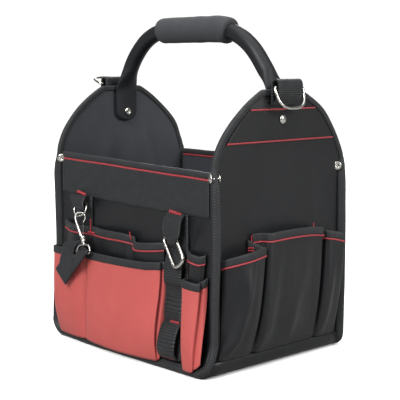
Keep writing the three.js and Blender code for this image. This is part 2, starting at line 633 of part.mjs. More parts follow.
frontStrap('strap_loops', LOOPS_WIDTH, [
  { z: 14, out: loopOut + 0.4 }, { z: 22, out: 11.5 }, { z: 38, out: 13 }, { z: 49, out: 8 },
  { z: 53.5, out: loopOut }, { z: 57, out: 5.5 }, { z: 64, out: 7.5 }, { z: 82, out: 6 },
  { z: 92, out: 6.2 }, { z: 96, out: 8.6 }, { z: 108, out: 8.6 }, { z: 118, out: 6.8 },
  { z: 126, out: 4.6 }, { z: 131, out: loopOut, width: 20 }, { z: 134, out: 4.2, width: 11, x: 79.9 },
  { z: 138, out: 8.6, width: 11, x: 79.9 }, { z: 142, out: 10.4, width: 15 },
  { z: 147, out: 10.6, width: 24 }, { z: 154, out: 10.4 }, { z: 161, out: 9.4 }, { z: 166.5, out: 7 },
  { z: strapTop, out: loopOut },
].map((row) => ({ x: LOOPS_X, ...row })));
frontStrap('hook_strap_base', STRAP_WIDTH, [
  { x: HOOK_STRAP_X, z: 100, out: strapOut }, { x: HOOK_STRAP_X, z: hookStrapTop, out: strapOut }]);

// A flat frame for wire goods: places across it and down it, from a top point on the front
function wireFrame(top, downWay, twist) {
  const at = FACES.front(top.x, top.out, top.z);
  const down = vec(downWay.x, -downWay.out, downWay.z).normalize();
  const level = vec(1, 0, 0).addScaledVector(down, -down.x).normalize();
  const across = level.applyAxisAngle(down, THREE.MathUtils.degToRad(twist));
  const place = (u, v) => at.clone().addScaledVector(across, u).addScaledVector(down, v);
  return { place, down };
}

// Wire carabiner hanging in the top loop of the webbing, with its sprung gate
const clip = wireFrame({ x: 71.2, out: 5.1, z: 147.1 }, { x: 0.66, out: 0.17, z: -0.735 }, 0);
const CLIP_HALF = 7.6;
const CLIP_LENGTH = 40;
const GATE_HINGE = { across: -CLIP_HALF, down: 31.2 };
const GATE_NOSE = { across: -CLIP_HALF, down: 13.2 };
const HINGE_CLEARANCE = 0.9;
add('carabiner', 'nickel', wire(roundedCurve([
  { at: clip.place(GATE_HINGE.across, GATE_HINGE.down + HINGE_CLEARANCE) },
  { at: clip.place(-CLIP_HALF, CLIP_LENGTH), cut: 7.4 },
  { at: clip.place(CLIP_HALF, CLIP_LENGTH), cut: 7.4 },
  { at: clip.place(CLIP_HALF, 0), cut: 7 },
  { at: clip.place(-CLIP_HALF, 0), cut: 7 },
  { at: clip.place(GATE_NOSE.across, GATE_NOSE.down - GAP) },
]), CLIP_WIRE, 26));
add('carabiner_gate', 'nickel', wire(new THREE.LineCurve3(
  clip.place(GATE_HINGE.across, GATE_HINGE.down),
  clip.place(GATE_NOSE.across, GATE_NOSE.down)), CLIP_WIRE * 0.9, 1));

// Hook group at the front left: a webbing tab with a small ring in its fold
const TAB_WIDTH = 18;
frontStrap('hook_tab', TAB_WIDTH, [
  { x: -87, out: loopOut, z: hookStrapTop, width: 26 }, { x: -86, out: 8.4, z: 174, width: 26 },
  { x: -82.5, out: 12.6, z: 170, width: 23 }, { x: -79, out: 14.6, z: 165.5, width: 19 },
  { x: -77.5, out: 13.9, z: 162 }, { x: -77.5, out: 11.4, z: 160.8 }, { x: -77.5, out: 9, z: 162.6 },
  { x: -78.5, out: 8, z: 167.5 },
]);
const ring = wireFrame({ x: -77.5, out: 11.5, z: 164 }, { x: 0.06, out: 0.34, z: -0.94 }, 0);
const RING_PLAY = 0.8;
const RING_HALF = TAB_WIDTH / 2 + RING_PLAY + SMALL_WIRE;
const RING_DROP = 12;
add('hook_ring', 'nickel', wire(roundedCurve([
  { at: ring.place(GAP / 2, 0) },
  { at: ring.place(RING_HALF, 0), cut: 2 },
  { at: ring.place(RING_HALF, RING_DROP / 2), cut: 2 },
  { at: ring.place(RING_HALF / 2, RING_DROP), cut: 4.5 },
  { at: ring.place(-RING_HALF / 2, RING_DROP), cut: 4.5 },
  { at: ring.place(-RING_HALF, RING_DROP / 2), cut: 2 },
  { at: ring.place(-RING_HALF, 0), cut: 2 },
  { at: ring.place(-GAP / 2, 0) },
]), SMALL_WIRE, 22));

// Swivel snap hook on the ring: hook and barrel in one casting, a sprung gate, and the swivel eye
const HOOK_SEAT = 4;
const hookTop = ring.place(0, RING_DROP - HOOK_SEAT);
const hook = wireFrame(
  { x: hookTop.x, out: -hookTop.y - FRONT_FACE, z: hookTop.z }, { x: 0.5, out: 0.22, z: -0.84 }, -45);
const BARREL_FROM = 31;
const BARREL_TO = 38;
const BARREL_RADIUS = 3.2;
const SNAP_HINGE = { across: 0.8, down: 28.4 };
const SNAP_NOSE = { across: 2.6, down: 14.2 };
const barrelMiddle = hook.place(0, (BARREL_FROM + BARREL_TO) / 2);
const barrel = pin(barrelMiddle, hook.down, BARREL_RADIUS, BARREL_TO - BARREL_FROM);
add('snap_hook', 'nickel', join(wire(roundedCurve([
  { at: hook.place(-1, BARREL_FROM + 2) },
  { at: hook.place(-2.2, BARREL_FROM - 3), cut: 2 },
  { at: hook.place(-5.6, 9), cut: 3 },
  { at: hook.place(-5.4, 0), cut: 5 },
  { at: hook.place(5.4, 0), cut: 5 },
  { at: hook.place(6, 9), cut: 3 },
  { at: hook.place(SNAP_NOSE.across + 0.2, SNAP_NOSE.down - HINGE_CLEARANCE) },
]), HOOK_WIRE, 26), barrel));
add('snap_hook_gate', 'nickel', wire(new THREE.LineCurve3(
  hook.place(SNAP_HINGE.across, SNAP_HINGE.down),
  hook.place(SNAP_NOSE.across, SNAP_NOSE.down)), SNAP_GATE_WIRE, 1));
const barrelEnd = hook.place(0, BARREL_TO + GAP);
const eye = wireFrame(
  { x: barrelEnd.x, out: -barrelEnd.y - FRONT_FACE, z: barrelEnd.z }, { x: 0.16, out: 0.22, z: -0.96 }, 0);
const EYE_HALF = 12;
const EYE_BAR = 12.6;
const EYE_SHOULDER = 3;
const EYE_STUD = 1.9;
const stud = pin(eye.place(0, EYE_SHOULDER / 2 + EYE_STUD / 4), eye.down, EYE_STUD, EYE_SHOULDER);
add('snap_hook_eye', 'nickel', join(wire(roundedCurve([
  { at: eye.place(GAP / 2, EYE_BAR) },
  { at: eye.place(EYE_HALF, EYE_BAR), cut: 2.5 },
  { at: eye.place(EYE_HALF, EYE_SHOULDER), cut: 7 },
  { at: eye.place(-EYE_HALF, EYE_SHOULDER), cut: 7 },
  { at: eye.place(-EYE_HALF, EYE_BAR), cut: 2.5 },
  { at: eye.place(-GAP / 2, EYE_BAR) },
]), SMALL_WIRE, 24), stud));

// Loose strap folded over the bar of the swivel eye, its two plies hanging to the left
const EYE_STRAP = 20;
const FOLD_PLAY = 0.7;
const FOLD_RADIUS = SMALL_WIRE + WEBBING / 2 + FOLD_PLAY;
const eyeBar = eye.place(0, EYE_BAR);
const barOut = -eyeBar.y - FRONT_FACE;
const fold = steps(4).map((t) => ({
  x: eyeBar.x,
  out: barOut - FOLD_RADIUS * Math.cos(t * Math.PI),
  z: eyeBar.z + FOLD_RADIUS * Math.sin(t * Math.PI),
  turn: -9,
}));
const hanging = (left, out, drop, turn, width) => (
  { x: eyeBar.x - left, out, z: eyeBar.z - drop, turn, width });
frontStrap('hook_strap', EYE_STRAP, [
  hanging(37, 24.2, 21, 25, 24), hanging(31, 24.6, 5, 15, 23), hanging(28, 24, -6, 5, 21),
  hanging(22, 20.5, -11, -5, 20), hanging(11, barOut - 3.6, -5, -9, 20), ...fold,
  hanging(11, barOut + 1.6, 6, 10, 22), hanging(28, 26.8, 18, 34, 25), hanging(42, 26.2, 33, 37, 26),
]);

export default bag;
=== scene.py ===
import math

import bmesh
import bpy
from mathutils import Matrix, Vector, noise


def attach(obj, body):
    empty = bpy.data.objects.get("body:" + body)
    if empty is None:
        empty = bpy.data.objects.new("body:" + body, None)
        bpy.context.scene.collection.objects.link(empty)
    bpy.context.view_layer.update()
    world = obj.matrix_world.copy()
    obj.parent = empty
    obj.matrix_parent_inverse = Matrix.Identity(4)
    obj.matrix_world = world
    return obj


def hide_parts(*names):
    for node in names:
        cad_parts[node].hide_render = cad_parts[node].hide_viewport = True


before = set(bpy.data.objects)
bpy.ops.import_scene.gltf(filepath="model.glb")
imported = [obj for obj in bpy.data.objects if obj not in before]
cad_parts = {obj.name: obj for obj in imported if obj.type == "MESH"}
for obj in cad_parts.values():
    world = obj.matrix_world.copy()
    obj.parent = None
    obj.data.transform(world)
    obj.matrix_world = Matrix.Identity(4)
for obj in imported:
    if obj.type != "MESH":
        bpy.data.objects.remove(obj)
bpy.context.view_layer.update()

# Front and back walls. Black polyester cloth over a thin plastic board, with a coated back that shows as the
# lining;
# the lining's lighter grey is partly painted light, standing in for the light that reaches inside the bag.
# Each is cut with two round lower corners and sewn into the bound seams at its sides and foot.
MM = 0.001
WIDTH, DEPTH = 280.0, 210.0
SEAM_DEEP, SEAM_THICK = 10.0, 7.5
DIAGONAL = math.sqrt(0.5)
SEAM_INSET = SEAM_DEEP / 2 * DIAGONAL - 0.3
SEAM_X, SEAM_Y = (round(size / 2 - SEAM_INSET, 3) for size in (WIDTH, DEPTH))
WALL, WALL_INSET = 2.5, 2.3
FRONT_Y = SEAM_Y - WALL_INSET
FRONT_FACE = FRONT_Y + WALL / 2
WALL_HALF, WALL_LOW = 132.0, 8.0
# The radius of a wall's lower corners, at the front (-1) and the back (1).
WALL_CORNERS = {-1: 12.0, 1: 6.0}
RIM, RIM_RISE = 217.5, 7.4
RIM_HALF, RIM_DEEP = SEAM_X - 7.0, 7.4
# How far the foot of the front is pushed forwards at its two ends.
KICK_LEFT, KICK_RIGHT = 5.0, 13.0


def linear(code):
    """An sRGB hex colour as linear red, green, blue and alpha."""
    parts = [int(code[i:i + 2], 16) / 255 for i in (1, 3, 5)]
    return [c / 12.92 if c <= 0.04045 else ((c + 0.055) / 1.055) ** 2.4 for c in parts] + [1.0]


def feed(owner, node, inputs):
    """Sets the inputs of a node. Each is a value, or the socket that feeds it."""
    for name, value in inputs.items():
        if isinstance(value, bpy.types.NodeSocket):
            owner.node_tree.links.new(value, node.inputs[name])
        else:
            node.inputs[name].default_value = value


def add_node(owner, kind, inputs=None, **settings):
    """Adds a node with its settings and inputs to a material or the world."""
    made = owner.node_tree.nodes.new(kind)
    for name, value in settings.items():
        setattr(made, name, value)
    feed(owner, made, inputs or {})
    return made


def begun(name):
    """A new material, its shader, and the coordinates that its patterns are laid out on."""
    material = bpy.data.materials.new(name)
    material.use_nodes = True
    return material, material.node_tree.nodes["Principled BSDF"], add_node(material, "ShaderNodeTexCoord")


def woven(name, colour, lit, threads, lift, rough, sheen, blotch=30.0, turn=0.0, grain=0.22, ribs=False,
          shine=0.28):
    """Cloth on its own flat cut, in millimetres: warp and weft spacing, thread lift, and a soft blotch.

    Ribs leave only the weft, for webbing and tape whose warp doesn't show.
    """
    material, shader, spot = begun(name)
    turned = add_node(material, "ShaderNodeMapping", {
        "Vector": spot.outputs["UV"], "Rotation": (0, 0, math.radians(turn))})
    scaled = add_node(material, "ShaderNodeMapping", {
        "Vector": turned.outputs["Vector"], "Scale": (math.pi / threads[0], math.pi / threads[1], 1)})
    axes = add_node(material, "ShaderNodeSeparateXYZ", {"Vector": scaled.outputs["Vector"]})
    warp = add_node(material, "ShaderNodeMath", {0: axes.outputs["X"]}, operation="SINE")
    weft = add_node(material, "ShaderNodeMath", {0: axes.outputs["Y"]}, operation="SINE")
    weave = weft if ribs else add_node(material, "ShaderNodeMath", {
        0: warp.outputs[0], 1: weft.outputs[0]}, operation="MULTIPLY")
    worn = add_node(material, "ShaderNodeTexNoise", {
        "Vector": spot.outputs["Object"], "Scale": 1 / (blotch * MM), "Detail": 5.0, "Roughness": 0.62})
    share = add_node(material, "ShaderNodeMath", {
        0: weave.outputs[0], 1: grain, 2: worn.outputs["Fac"]}, operation="MULTIPLY_ADD")
    tint = add_node(material, "ShaderNodeMix", {
        0: share.outputs[0], 6: linear(colour), 7: linear(lit)}, data_type="RGBA")
    gloss = add_node(material, "ShaderNodeMapRange", {
        "Value": worn.outputs["Fac"], "From Min": 0.3, "From Max": 0.7,
        "To Min": rough + 0.06, "To Max": rough - 0.06})
    crumple = add_node(material, "ShaderNodeBump", {
        "Height": worn.outputs["Fac"], "Strength": 0.35, "Distance": 0.6 * MM})
    threads_up = add_node(material, "ShaderNodeBump", {
        "Height": weave.outputs[0], "Strength": 0.8, "Distance": lift * MM,
        "Normal": crumple.outputs["Normal"]})
    feed(material, shader, {
        "Base Color": tint.outputs[2], "Roughness": gloss.outputs[0], "Normal": threads_up.outputs["Normal"],
        "Sheen Weight": sheen, "Sheen Roughness": 0.4, "Specular IOR Level": shine})
    return material


def laid(across, up, place, cut, run=None):
    """A grid of cloth set down by place(u, v), in millimetres, with the flat cut as its UV map."""
    shape = bmesh.new()
    flat = shape.loops.layers.uv.new("cut")
    bmesh.ops.create_grid(shape, x_segments=across, y_segments=up, size=0.5)
    for face in shape.faces:
        for loop in face.loops:
            u, v = loop.vert.co.x + 0.5, loop.vert.co.y + 0.5
            loop[flat].uv = (run(u) if run else u * cut[0], v * cut[1])
    for vert in shape.verts:
        vert.co = Vector(place(vert.co.x + 0.5, vert.co.y + 0.5)) * MM
    return shape


def show(name, shape, material, nodes=(), body="bag", thick=0.0, lining=None):
    """Makes a piece of a finished shape, in its body, with its material and the nodes it stands for."""
    if isinstance(shape, bmesh.types.BMesh):
        mesh = bpy.data.meshes.new(name)
        shape.to_mesh(mesh)
        shape.free()
    else:
        mesh = shape
        mesh.name = name
    mesh.polygons.foreach_set("use_smooth", [True] * len(mesh.polygons))
    mesh.materials.clear()
    mesh.materials.append(material)
    made = bpy.data.objects.new(name, mesh)
    bpy.context.collection.objects.link(made)
    if thick:
        wall = made.modifiers.new("cloth", "SOLIDIFY")
        wall.thickness = thick * MM
        wall.offset = 0.0
        wall.use_even_offset = True
        if lining:
            mesh.materials.append(lining)
            wall.material_offset = 1
    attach(made, body)
    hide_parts(*nodes)
    return made


def mix(a, b, share):
    return a + (b - a) * share


def bump(value, middle, width):
    return math.exp(-(((value - middle) / width) ** 2))


def eased(value, start, end):
    """0 before start, 1 after end, and smooth between them."""
    t = min(1.0, max(0.0, (value - start) / (end - start)))
    return t * t * (3 - 2 * t)


def rise(x):
    """The front rim and its band rise towards the left, where the cloth has been pulled up."""
    return RIM_RISE * (RIM_HALF - x) / (2 * RIM_HALF)


def rim_top(x):
    return RIM + rise(x)


# Each wall's side and the height of its top edge.
WALLS = (("front", -1, rim_top), ("back", 1, lambda x: RIM))


def wall_half(z, corner):
    """Half a wall's width at a height, less where its lower corners are rounded."""
    left = max(0.0, corner - (z - WALL_LOW))
    return WALL_HALF - (corner - math.sqrt(corner ** 2 - left ** 2))


def kicked(x, z, reach=40.0):
    """How far forwards the front is pushed at a place: at the right only below the height of reach."""
    left, right = 1 - eased(z, 30.0, 110.0), 1 - eased(z, -10.0, reach)
    return mix(KICK_LEFT * left, KICK_RIGHT * right, eased(x, -150.0, -40.0))


def dragged(x, y, z):
    """The same push where it carries the base and the ends along with the front."""
    return kicked(x, z) * eased(-y, 40.0, 97.0)


# Plain-woven polyester: a dull black whose folds catch a soft grey shine. Its threads are about 0.5 mm
# apart, and they are drawn at 1.3 mm so that the weave shows.
black_polyester = woven("black_plain_woven_polyester", "#0a0b0d", "#121316", (1.3, 1.3), 0.09, 0.40, 0.02,
                        shine=0.33)
# The coated back of the same cloth: smoother, with a faint blue-grey film over the weave. Its grey is also
# painted lighter than the coating alone, a painted light that stands in for the light reaching inside the
# bag.
coated_back_painted_light = woven("grey_coated_back_painted_lighter", "#292a2e", "#35373c", (1.3, 1.3), 0.04, 0.5, 0.03)
for name, side, top in WALLS:

    def wall_place(u, v):
        z = mix(WALL_LOW, RIM - 4, v)
        x = side * (1 - 2 * u) * wall_half(z, WALL_CORNERS[side])
        slack = bump(z, 155.0, 24.0) if side < 0 else math.sin(math.pi * v)
        ripple = 0.7 + 0.9 * noise.noise((x / 52, z / 46, side * 3.1))
        ripple += 2.2 * bump(x - 0.6 * (z - 150), 106.0, 6.0) if side < 0 else 0.0
        dent = slack * math.sin(math.pi * u) ** 0.5 * ripple
        foot = kicked(x, z) if side < 0 else 0.0
        return (x, side * (FRONT_Y - dent + foot), z + (top(x) - RIM) * v)

    wall_cloth = show(f"{name}_wall", laid(64, 48, wall_place, (2 * WALL_HALF, RIM - WALL_LOW)),
                      black_polyester, [f"{name}_panel"], thick=WALL, lining=coated_back_painted_light)

# Base: one strip of the same stiffened cloth across the floor of the bag, turned up in a round bend at
# each end and sewn to the lower edge of the end walls.
END_X = SEAM_X - WALL_INSET
END_FACE = END_X + WALL / 2
BASE_HALF = 101.0
TURN_UP_X = END_FACE + 0.3 + WALL / 2
TURN_UP = 18.0


def rounded(corners, step=1.5, closed=False):
    """Points along straight lines between corners of (x, y, z, cut), each bent over its cut length."""
    spots = [Vector(c[:3]) for c in corners]
    count = len(spots)
    path = []
    for i, at in enumerate(spots):
        cut = corners[i][3]
        if cut:
            into = at + (spots[i - 1] - at).normalized() * cut
            out = at + (spots[(i + 1) % count] - at).normalized() * cut
            pieces = max(6, round(cut * 1.6 / step))
            for k in range(pieces + 1):
                t = k / pieces
                path.append(into * (1 - t) ** 2 + at * (2 * t * (1 - t)) + out * t ** 2)
        else:
            path.append(at)
    if closed:
        path.append(path[0])
    filled = [path[0]]
    for a, b in zip(path, path[1:]):
        parts = max(1, round((b - a).length / step))
        filled += [a.lerp(b, (k + 1) / parts) for k in range(parts) if (b - a).length > 1e-6]
    return filled[:-1] if closed else filled


def measured(path):
    """How far each point of a path is from its start."""
    far = [0.0]
    for a, b in zip(path, path[1:]):
        far.append(far[-1] + (b - a).length)
    return far


def spot_at(path, far, distance):
    """The point of a measured path at a distance from its start, and the way it goes there."""
    distance = min(max(distance, 0.0), far[-1])
    i = next((k for k in range(1, len(far)) if far[k] >= distance), len(far) - 1)
    span = far[i] - far[i - 1]
    share = (distance - far[i - 1]) / span if span else 0.0
    return path[i - 1].lerp(path[i], share), (path[i] - path[i - 1]).normalized()


base_path = rounded([(-TURN_UP_X, 0, TURN_UP, 0), (-TURN_UP_X, 0, WALL / 2, 14),
                     (TURN_UP_X, 0, WALL / 2, 14), (TURN_UP_X, 0, TURN_UP, 0)])
base_far = measured(base_path)


def base_place(u, v):
    at = spot_at(base_path, base_far, u * base_far[-1])[0]
    y = (1 - 2 * v) * BASE_HALF
    return (at.x, y - dragged(at.x, y, at.z), at.z)


base_cloth = show("base_strip", laid(90, 12, base_place, (base_far[-1], 2 * BASE_HALF)),
                  black_polyester, ["base_panel"], thick=WALL, lining=coated_back_painted_light)

# End walls: straight sides up to the rim, and above it a gable with sloping shoulders and a short flat
# top. Stiffened black cloth, a little slack between its seams, and with a hole for the handle rivet.
END_LOW = 14.5
END_HALF = 97.0
# Rows: height, half width.
GABLE = ((219.0, 103.5), (232.0, 101.5), (250.0, 92.5), (269.0, 76.0), (287.0, 54.5), (300.0, 33.5),
         (302.0, 29.0))
EDGE_DEEP = 7.0
EDGE_THICK = 5.5
GABLE_TOP = GABLE[-1][0]
GABLE_STEPS = 60
ENDS = (("left", -1), ("right", 1))


def spline(points, share):
    """A centripetal curve through points, from share 0 at the first to 1 at the last."""
    spans = len(points) - 1
    at = min(max(share, 0.0), 1.0) * spans
    i = min(int(at), spans - 1)
    t = at - i
    p1, p2 = points[i], points[i + 1]
    p0 = points[i - 1] if i else p1 + (p1 - p2)
    p3 = points[i + 2] if i + 2 <= spans else p2 + (p2 - p1)
    d1, d2, d3 = ((b - a).length ** 0.5 or 1.0 for a, b in ((p0, p1), (p1, p2), (p2, p3)))
    m1 = ((p1 - p0) / d1 - (p2 - p0) / (d1 + d2) + (p2 - p1) / d2) * d2
    m2 = ((p2 - p1) / d2 - (p3 - p1) / (d2 + d3) + (p3 - p2) / d3) * d2
    return (p1 * (2 * t ** 3 - 3 * t ** 2 + 1) + m1 * (t ** 3 - 2 * t ** 2 + t)
            + p2 * (3 * t ** 2 - 2 * t ** 3) + m2 * (t ** 3 - t ** 2))


gable_edge = [Vector((0, half, z)) for z, half in GABLE]
gable_round = [spline(gable_edge, k / GABLE_STEPS) for k in range(GABLE_STEPS + 1)]


def gable_half(z):
    """Half the end wall's width at a height, to the outside of its binding."""
    if z <= gable_round[0].z:
        return gable_round[0].y
    i = next((k for k in range(1, GABLE_STEPS) if gable_round[k].z >= z), GABLE_STEPS)
    a, b = gable_round[i - 1], gable_round[i]
    return mix(a.y, b.y, min(1.0, (z - a.z) / max(b.z - a.z, 1e-6)))


def pulled(side, y, z):
    """How far along Y a gable is pulled out of true: the left forwards, the right one's edge back."""
    behind = eased(y, 0.0, 70.0)
    if side < 0:
        return -4.0 * eased(z, 225.0, 290.0) - 5.0 * behind * bump(z, 234.0, 18.0)
    return 3.0 * behind * bump(z, 219.0, 12.0) + 5.0 * behind * bump(z, 282.0, 18.0)


for name, side in ENDS:

    def end_place(u, v):
        z = mix(END_LOW, GABLE_TOP - 4.0, v)
        half = min(END_HALF, gable_half(min(z + 3.5, GABLE_TOP)) - 2.5)
        y = side * (2 * u - 1) * half
        free = bump(z, 195.0, 45.0) * math.sin(math.pi * u)
        dent = free * (1.5 + 2.0 * noise.noise((y / 55, z / 90, 7.0 + side)))
        dent += free * 1.6 * bump(y + 0.22 * (z - 190), 52.0, 8.0)
        dent += free * 1.4 * bump(y - 0.3 * (z - 180), -40.0, 14.0)
        return (side * (END_X - dent), y + pulled(side, y, z) - dragged(side * END_X, y, z), z)

    end_cloth = show(f"end_wall_{name}", laid(64, 80, end_place, (2 * END_HALF, GABLE_TOP - END_LOW)),
                     black_polyester, [f"end_panel_{name}"], thick=WALL, lining=coated_back_painted_light)

# Bound seams: the cut edges of the walls, ends and base stand out together at the corners and along the
# bottom, and a woven tape is folded over them and sewn through. One runs round the front, one the back.
SEAM_Z, SEAM_TOP = 5.6, RIM + 4.0
# The radius of a seam's lower corners, at the front (-1) and the back (1).
SEAM_ROUNDS = {-1: 16.0, 1: 9.0}
# Points closer than this, in metres, are joined.
WELD = 0.00001


def barred(stations, around=18, square=0.55):
    """A closed bar through stations of (middle, deep way, thick way, half deep, half thick)."""
    count = len(stations)
    far = measured([s[0] for s in stations])
    shape = bmesh.new()
    flat = shape.loops.layers.uv.new("cut")
    bmesh.ops.create_grid(shape, x_segments=count - 1, y_segments=around, size=0.5)
    girth = 2 * math.pi * max(stations[count // 2][3], stations[count // 2][4])
    for face in shape.faces:
        for loop in face.loops:
            i = round((loop.vert.co.x + 0.5) * (count - 1))
            loop[flat].uv = (far[i], (loop.vert.co.y + 0.5) * girth)
    for vert in shape.verts:
        middle, deep_way, thick_way, deep, thick = stations[round((vert.co.x + 0.5) * (count - 1))]
        turn = (vert.co.y + 0.5) * 2 * math.pi
        c, s = math.cos(turn), math.sin(turn)
        a = math.copysign(abs(c) ** square, c) * deep
        b = math.copysign(abs(s) ** square, s) * thick
        vert.co = (middle + deep_way * a + thick_way * b) * MM
    bmesh.ops.remove_doubles(shape, verts=shape.verts, dist=WELD)
    bmesh.ops.holes_fill(shape, edges=[e for e in shape.edges if e.is_boundary], sides=0)
    bmesh.ops.recalc_face_normals(shape, faces=shape.faces)
    return shape


def closed_ends(stations, over=2.0):
    """The same stations with each end rounded over, as a folded end of tape is."""

    def folded(at, way, share):
        middle, deep_way, thick_way, deep, thick = at
        less = over * (1 - math.sqrt(1 - (1 - share) ** 2))
        return (middle + way * over * (1 - share), deep_way, thick_way, deep - less, thick - 0.7 * less)

    first, last = stations[0], stations[-1]
    head = (first[0] - stations[1][0]).normalized()
    tail = (last[0] - stations[-2][0]).normalized()
    steps = (0.15, 0.5, 0.8)
    return ([folded(first, head, s) for s in steps] + stations
            + [folded(last, tail, s) for s in reversed(steps)])


def sewn(name, rows, material, body="bag", pitch=3.6, long=2.5, wide=0.6, high=0.42):
    """Lines of stitches. A row is points of (place, face's way out), and each stitch is a small bead."""
    shape = bmesh.new()
    for row in rows:
        path = [Vector(place) for place, _ in row]
        far = measured(path)
        for k in range(int(far[-1] / pitch)):
            reach = (k + 0.5) * pitch
            at, way = spot_at(path, far, reach)
            face = Vector(row[min(range(len(far)), key=lambda n: abs(far[n] - reach))][1])
            out = (face - way * way.dot(face)).normalized()
            sized = (way * long / 2, way.cross(out) * wide / 2, out * high)
            bmesh.ops.create_icosphere(
                shape, subdivisions=1, radius=MM,
                matrix=Matrix.Translation(at * MM) @ Matrix(sized).transposed().to_4x4())
    return show(name, shape, material, body=body)


# Grosgrain edge tape: fine ribs across its length and a slightly lighter, drier black than the cloth.
# The ribs are about 0.8 mm apart, and they are drawn at 1.5 mm so that they show.
edge_tape = woven("black_grosgrain_edge_tape", "#171819", "#252628", (1.5, 4.0), 0.16, 0.6, 0.05,
                  blotch=14.0)
# Twisted polyester sewing thread: round and a little glossier than the cloth round it.
black_thread = woven("black_polyester_thread", "#18191b", "#28292c", (0.5, 0.5), 0.02, 0.5, 0.04, blotch=3.0)


def seam_line(side):
    """Stations round one bound seam, from the top left, round the bottom, to the top right."""
    line = []

    def put(x, z, turn, x_side):
        level = Vector((x_side * math.cos(turn), 0, -math.sin(turn)))
        out = Vector((0, side, 0))
        worked = noise.noise((x / 30, side * 5.0, z / 30))
        reach = -1.4 if x_side < 0 and side < 0 else 1.2
        swell = reach * math.sin(math.pi * min(1.0, z / RIM)) if turn == 0 else 0.0
        way, thick_way = (level + out) * DIAGONAL, (level - out) * DIAGONAL
        foot = kicked(x, z) if side < 0 else 0.0
        middle = Vector((x, side * (SEAM_Y + foot), z)) + way * swell
        deep, thick = SEAM_DEEP / 2 + 0.35 * worked, SEAM_THICK / 2 + 0.3 * worked
        if turn == 0:
            # the standing corners bow outwards at half height, the near one most
            bow = bump(z, 150.0, 70.0) * (2.2 if x_side > 0 and side < 0 else 0.6)
            middle += thick_way * bow
            thick += 0.3 * bow
            # above the rim each one turns flat into the tape of the gable
            over = eased(z, 196.0, SEAM_TOP)
            flat = eased(z, 211.0, SEAM_TOP + 2)
            gable_y = side * (gable_half(219.0) - EDGE_DEEP / 2)
            above = Vector((x_side * END_X, gable_y + pulled(x_side, gable_y, max(z, 219.0)), z))
            middle = middle.lerp(above, over)
            way = way.lerp(out, flat).normalized()
            thick_way = thick_way.lerp(level, flat).normalized()
            deep, thick = mix(deep, EDGE_DEEP / 2, flat), mix(thick, EDGE_THICK / 2, flat)
        line.append((middle, way, thick_way, deep, thick))

    bend = SEAM_ROUNDS[side]
    middle_x, middle_z = SEAM_X - bend, SEAM_Z + bend
    heights = [SEAM_TOP - k * (SEAM_TOP - middle_z) / 64 for k in range(64)]
    for z in heights:
        put(-SEAM_X, z, 0, -1)
    for k in range(13):
        turn = k / 12 * math.pi / 2
        put(-(middle_x + bend * math.cos(turn)), middle_z - bend * math.sin(turn), turn, -1)
    for k in range(1, 60):
        put(mix(-middle_x, middle_x, k / 60), SEAM_Z, math.pi / 2, 1)
    for k in range(12, -1, -1):
        turn = k / 12 * math.pi / 2
        put(middle_x + bend * math.cos(turn), middle_z - bend * math.sin(turn), turn, 1)
    for z in reversed(heights):
        put(SEAM_X, z, 0, 1)
    return line


def sewn_through(line, inset):
    """A row of stitches on each flank of a bar, set in from the edge that the tape folds away from."""
    return [[(m - d * (deep - inset) + t * flank * (thick + 0.02), t * flank)
             for m, d, t, deep, thick in line] for flank in (-1, 1)]


for name, side, _ in WALLS:
    line = seam_line(side)
    show(f"{name}_seam_tape", barred(closed_ends(line)), edge_tape, [f"{name}_binding"])
    sewn(f"{name}_seam_stitches", sewn_through(line, 2.0), black_thread)

# Corner rivets: tubular nickel-plated rivets through the top of each bound corner, with a domed head on
# one face and a rolled ring round a small hole on the other.
RIVET_HEAD, RIVET_BORE = 5.2, 1.5
# Rows: wall, end, side of each, how far in from the seam's middle, how far right and forwards of it, height,
# and the way in X and Y that the head faces.
CORNER_RIVETS = (("front", "left", -1, -1, 5.0, 2.0, 217.0, (-1, 1)),
                 ("front", "right", -1, 1, 0.5, 0.6, 212.0, (-0.5, -1)),
                 ("back", "left", 1, -1, 0.5, 0.0, 212.0, (-1, -1)),
                 ("back", "right", 1, 1, 4.6, 1.5, 213.0, (-1, 1)))


def plated(name, colour, lit, rough):
    """Nickel plate: a warm bright metal with faint clouding and handling marks."""
    material, shader, spot = begun(name)
    cloud = add_node(material, "ShaderNodeTexNoise", {
        "Vector": spot.outputs["Object"], "Scale": 1 / (4 * MM), "Detail": 4.0, "Roughness": 0.7})
    marks = add_node(material, "ShaderNodeMapRange", {
        "Value": cloud.outputs["Fac"], "From Min": 0.3, "From Max": 0.7,
        "To Min": rough - 0.06, "To Max": rough + 0.1})
    tint = add_node(material, "ShaderNodeMix", {
        0: cloud.outputs["Fac"], 6: linear(colour), 7: linear(lit)}, data_type="RGBA")
    fine = add_node(material, "ShaderNodeBump", {
        "Height": cloud.outputs["Fac"], "Strength": 0.08, "Distance": 0.2 * MM})
    feed(material, shader, {
        "Base Color": tint.outputs[2], "Roughness": marks.outputs[0], "Normal": fine.outputs["Normal"],
        "Metallic": 1.0})
    return material


def spun(profile, at, way, steps):
    """A turned piece from (radius, height) points, set down at a place with its height along a way."""
    shape = bmesh.new()
    spots = [shape.verts.new((r * MM, 0, h * MM)) for r, h in profile]
    edges = [shape.edges.new(pair) for pair in zip(spots, spots[1:])]
    bmesh.ops.spin(shape, geom=spots + edges, cent=(0, 0, 0), axis=(0, 0, 1), angle=2 * math.pi,
                   steps=steps, use_merge=True)
    bmesh.ops.remove_doubles(shape, verts=shape.verts, dist=WELD)
    bmesh.ops.recalc_face_normals(shape, faces=shape.faces)
    turned = Vector((0, 0, 1)).rotation_difference(Vector(way).normalized()).to_matrix().to_4x4()
    bmesh.ops.transform(shape, matrix=Matrix.Translation(Vector(at) * MM) @ turned, verts=shape.verts)
    return shape


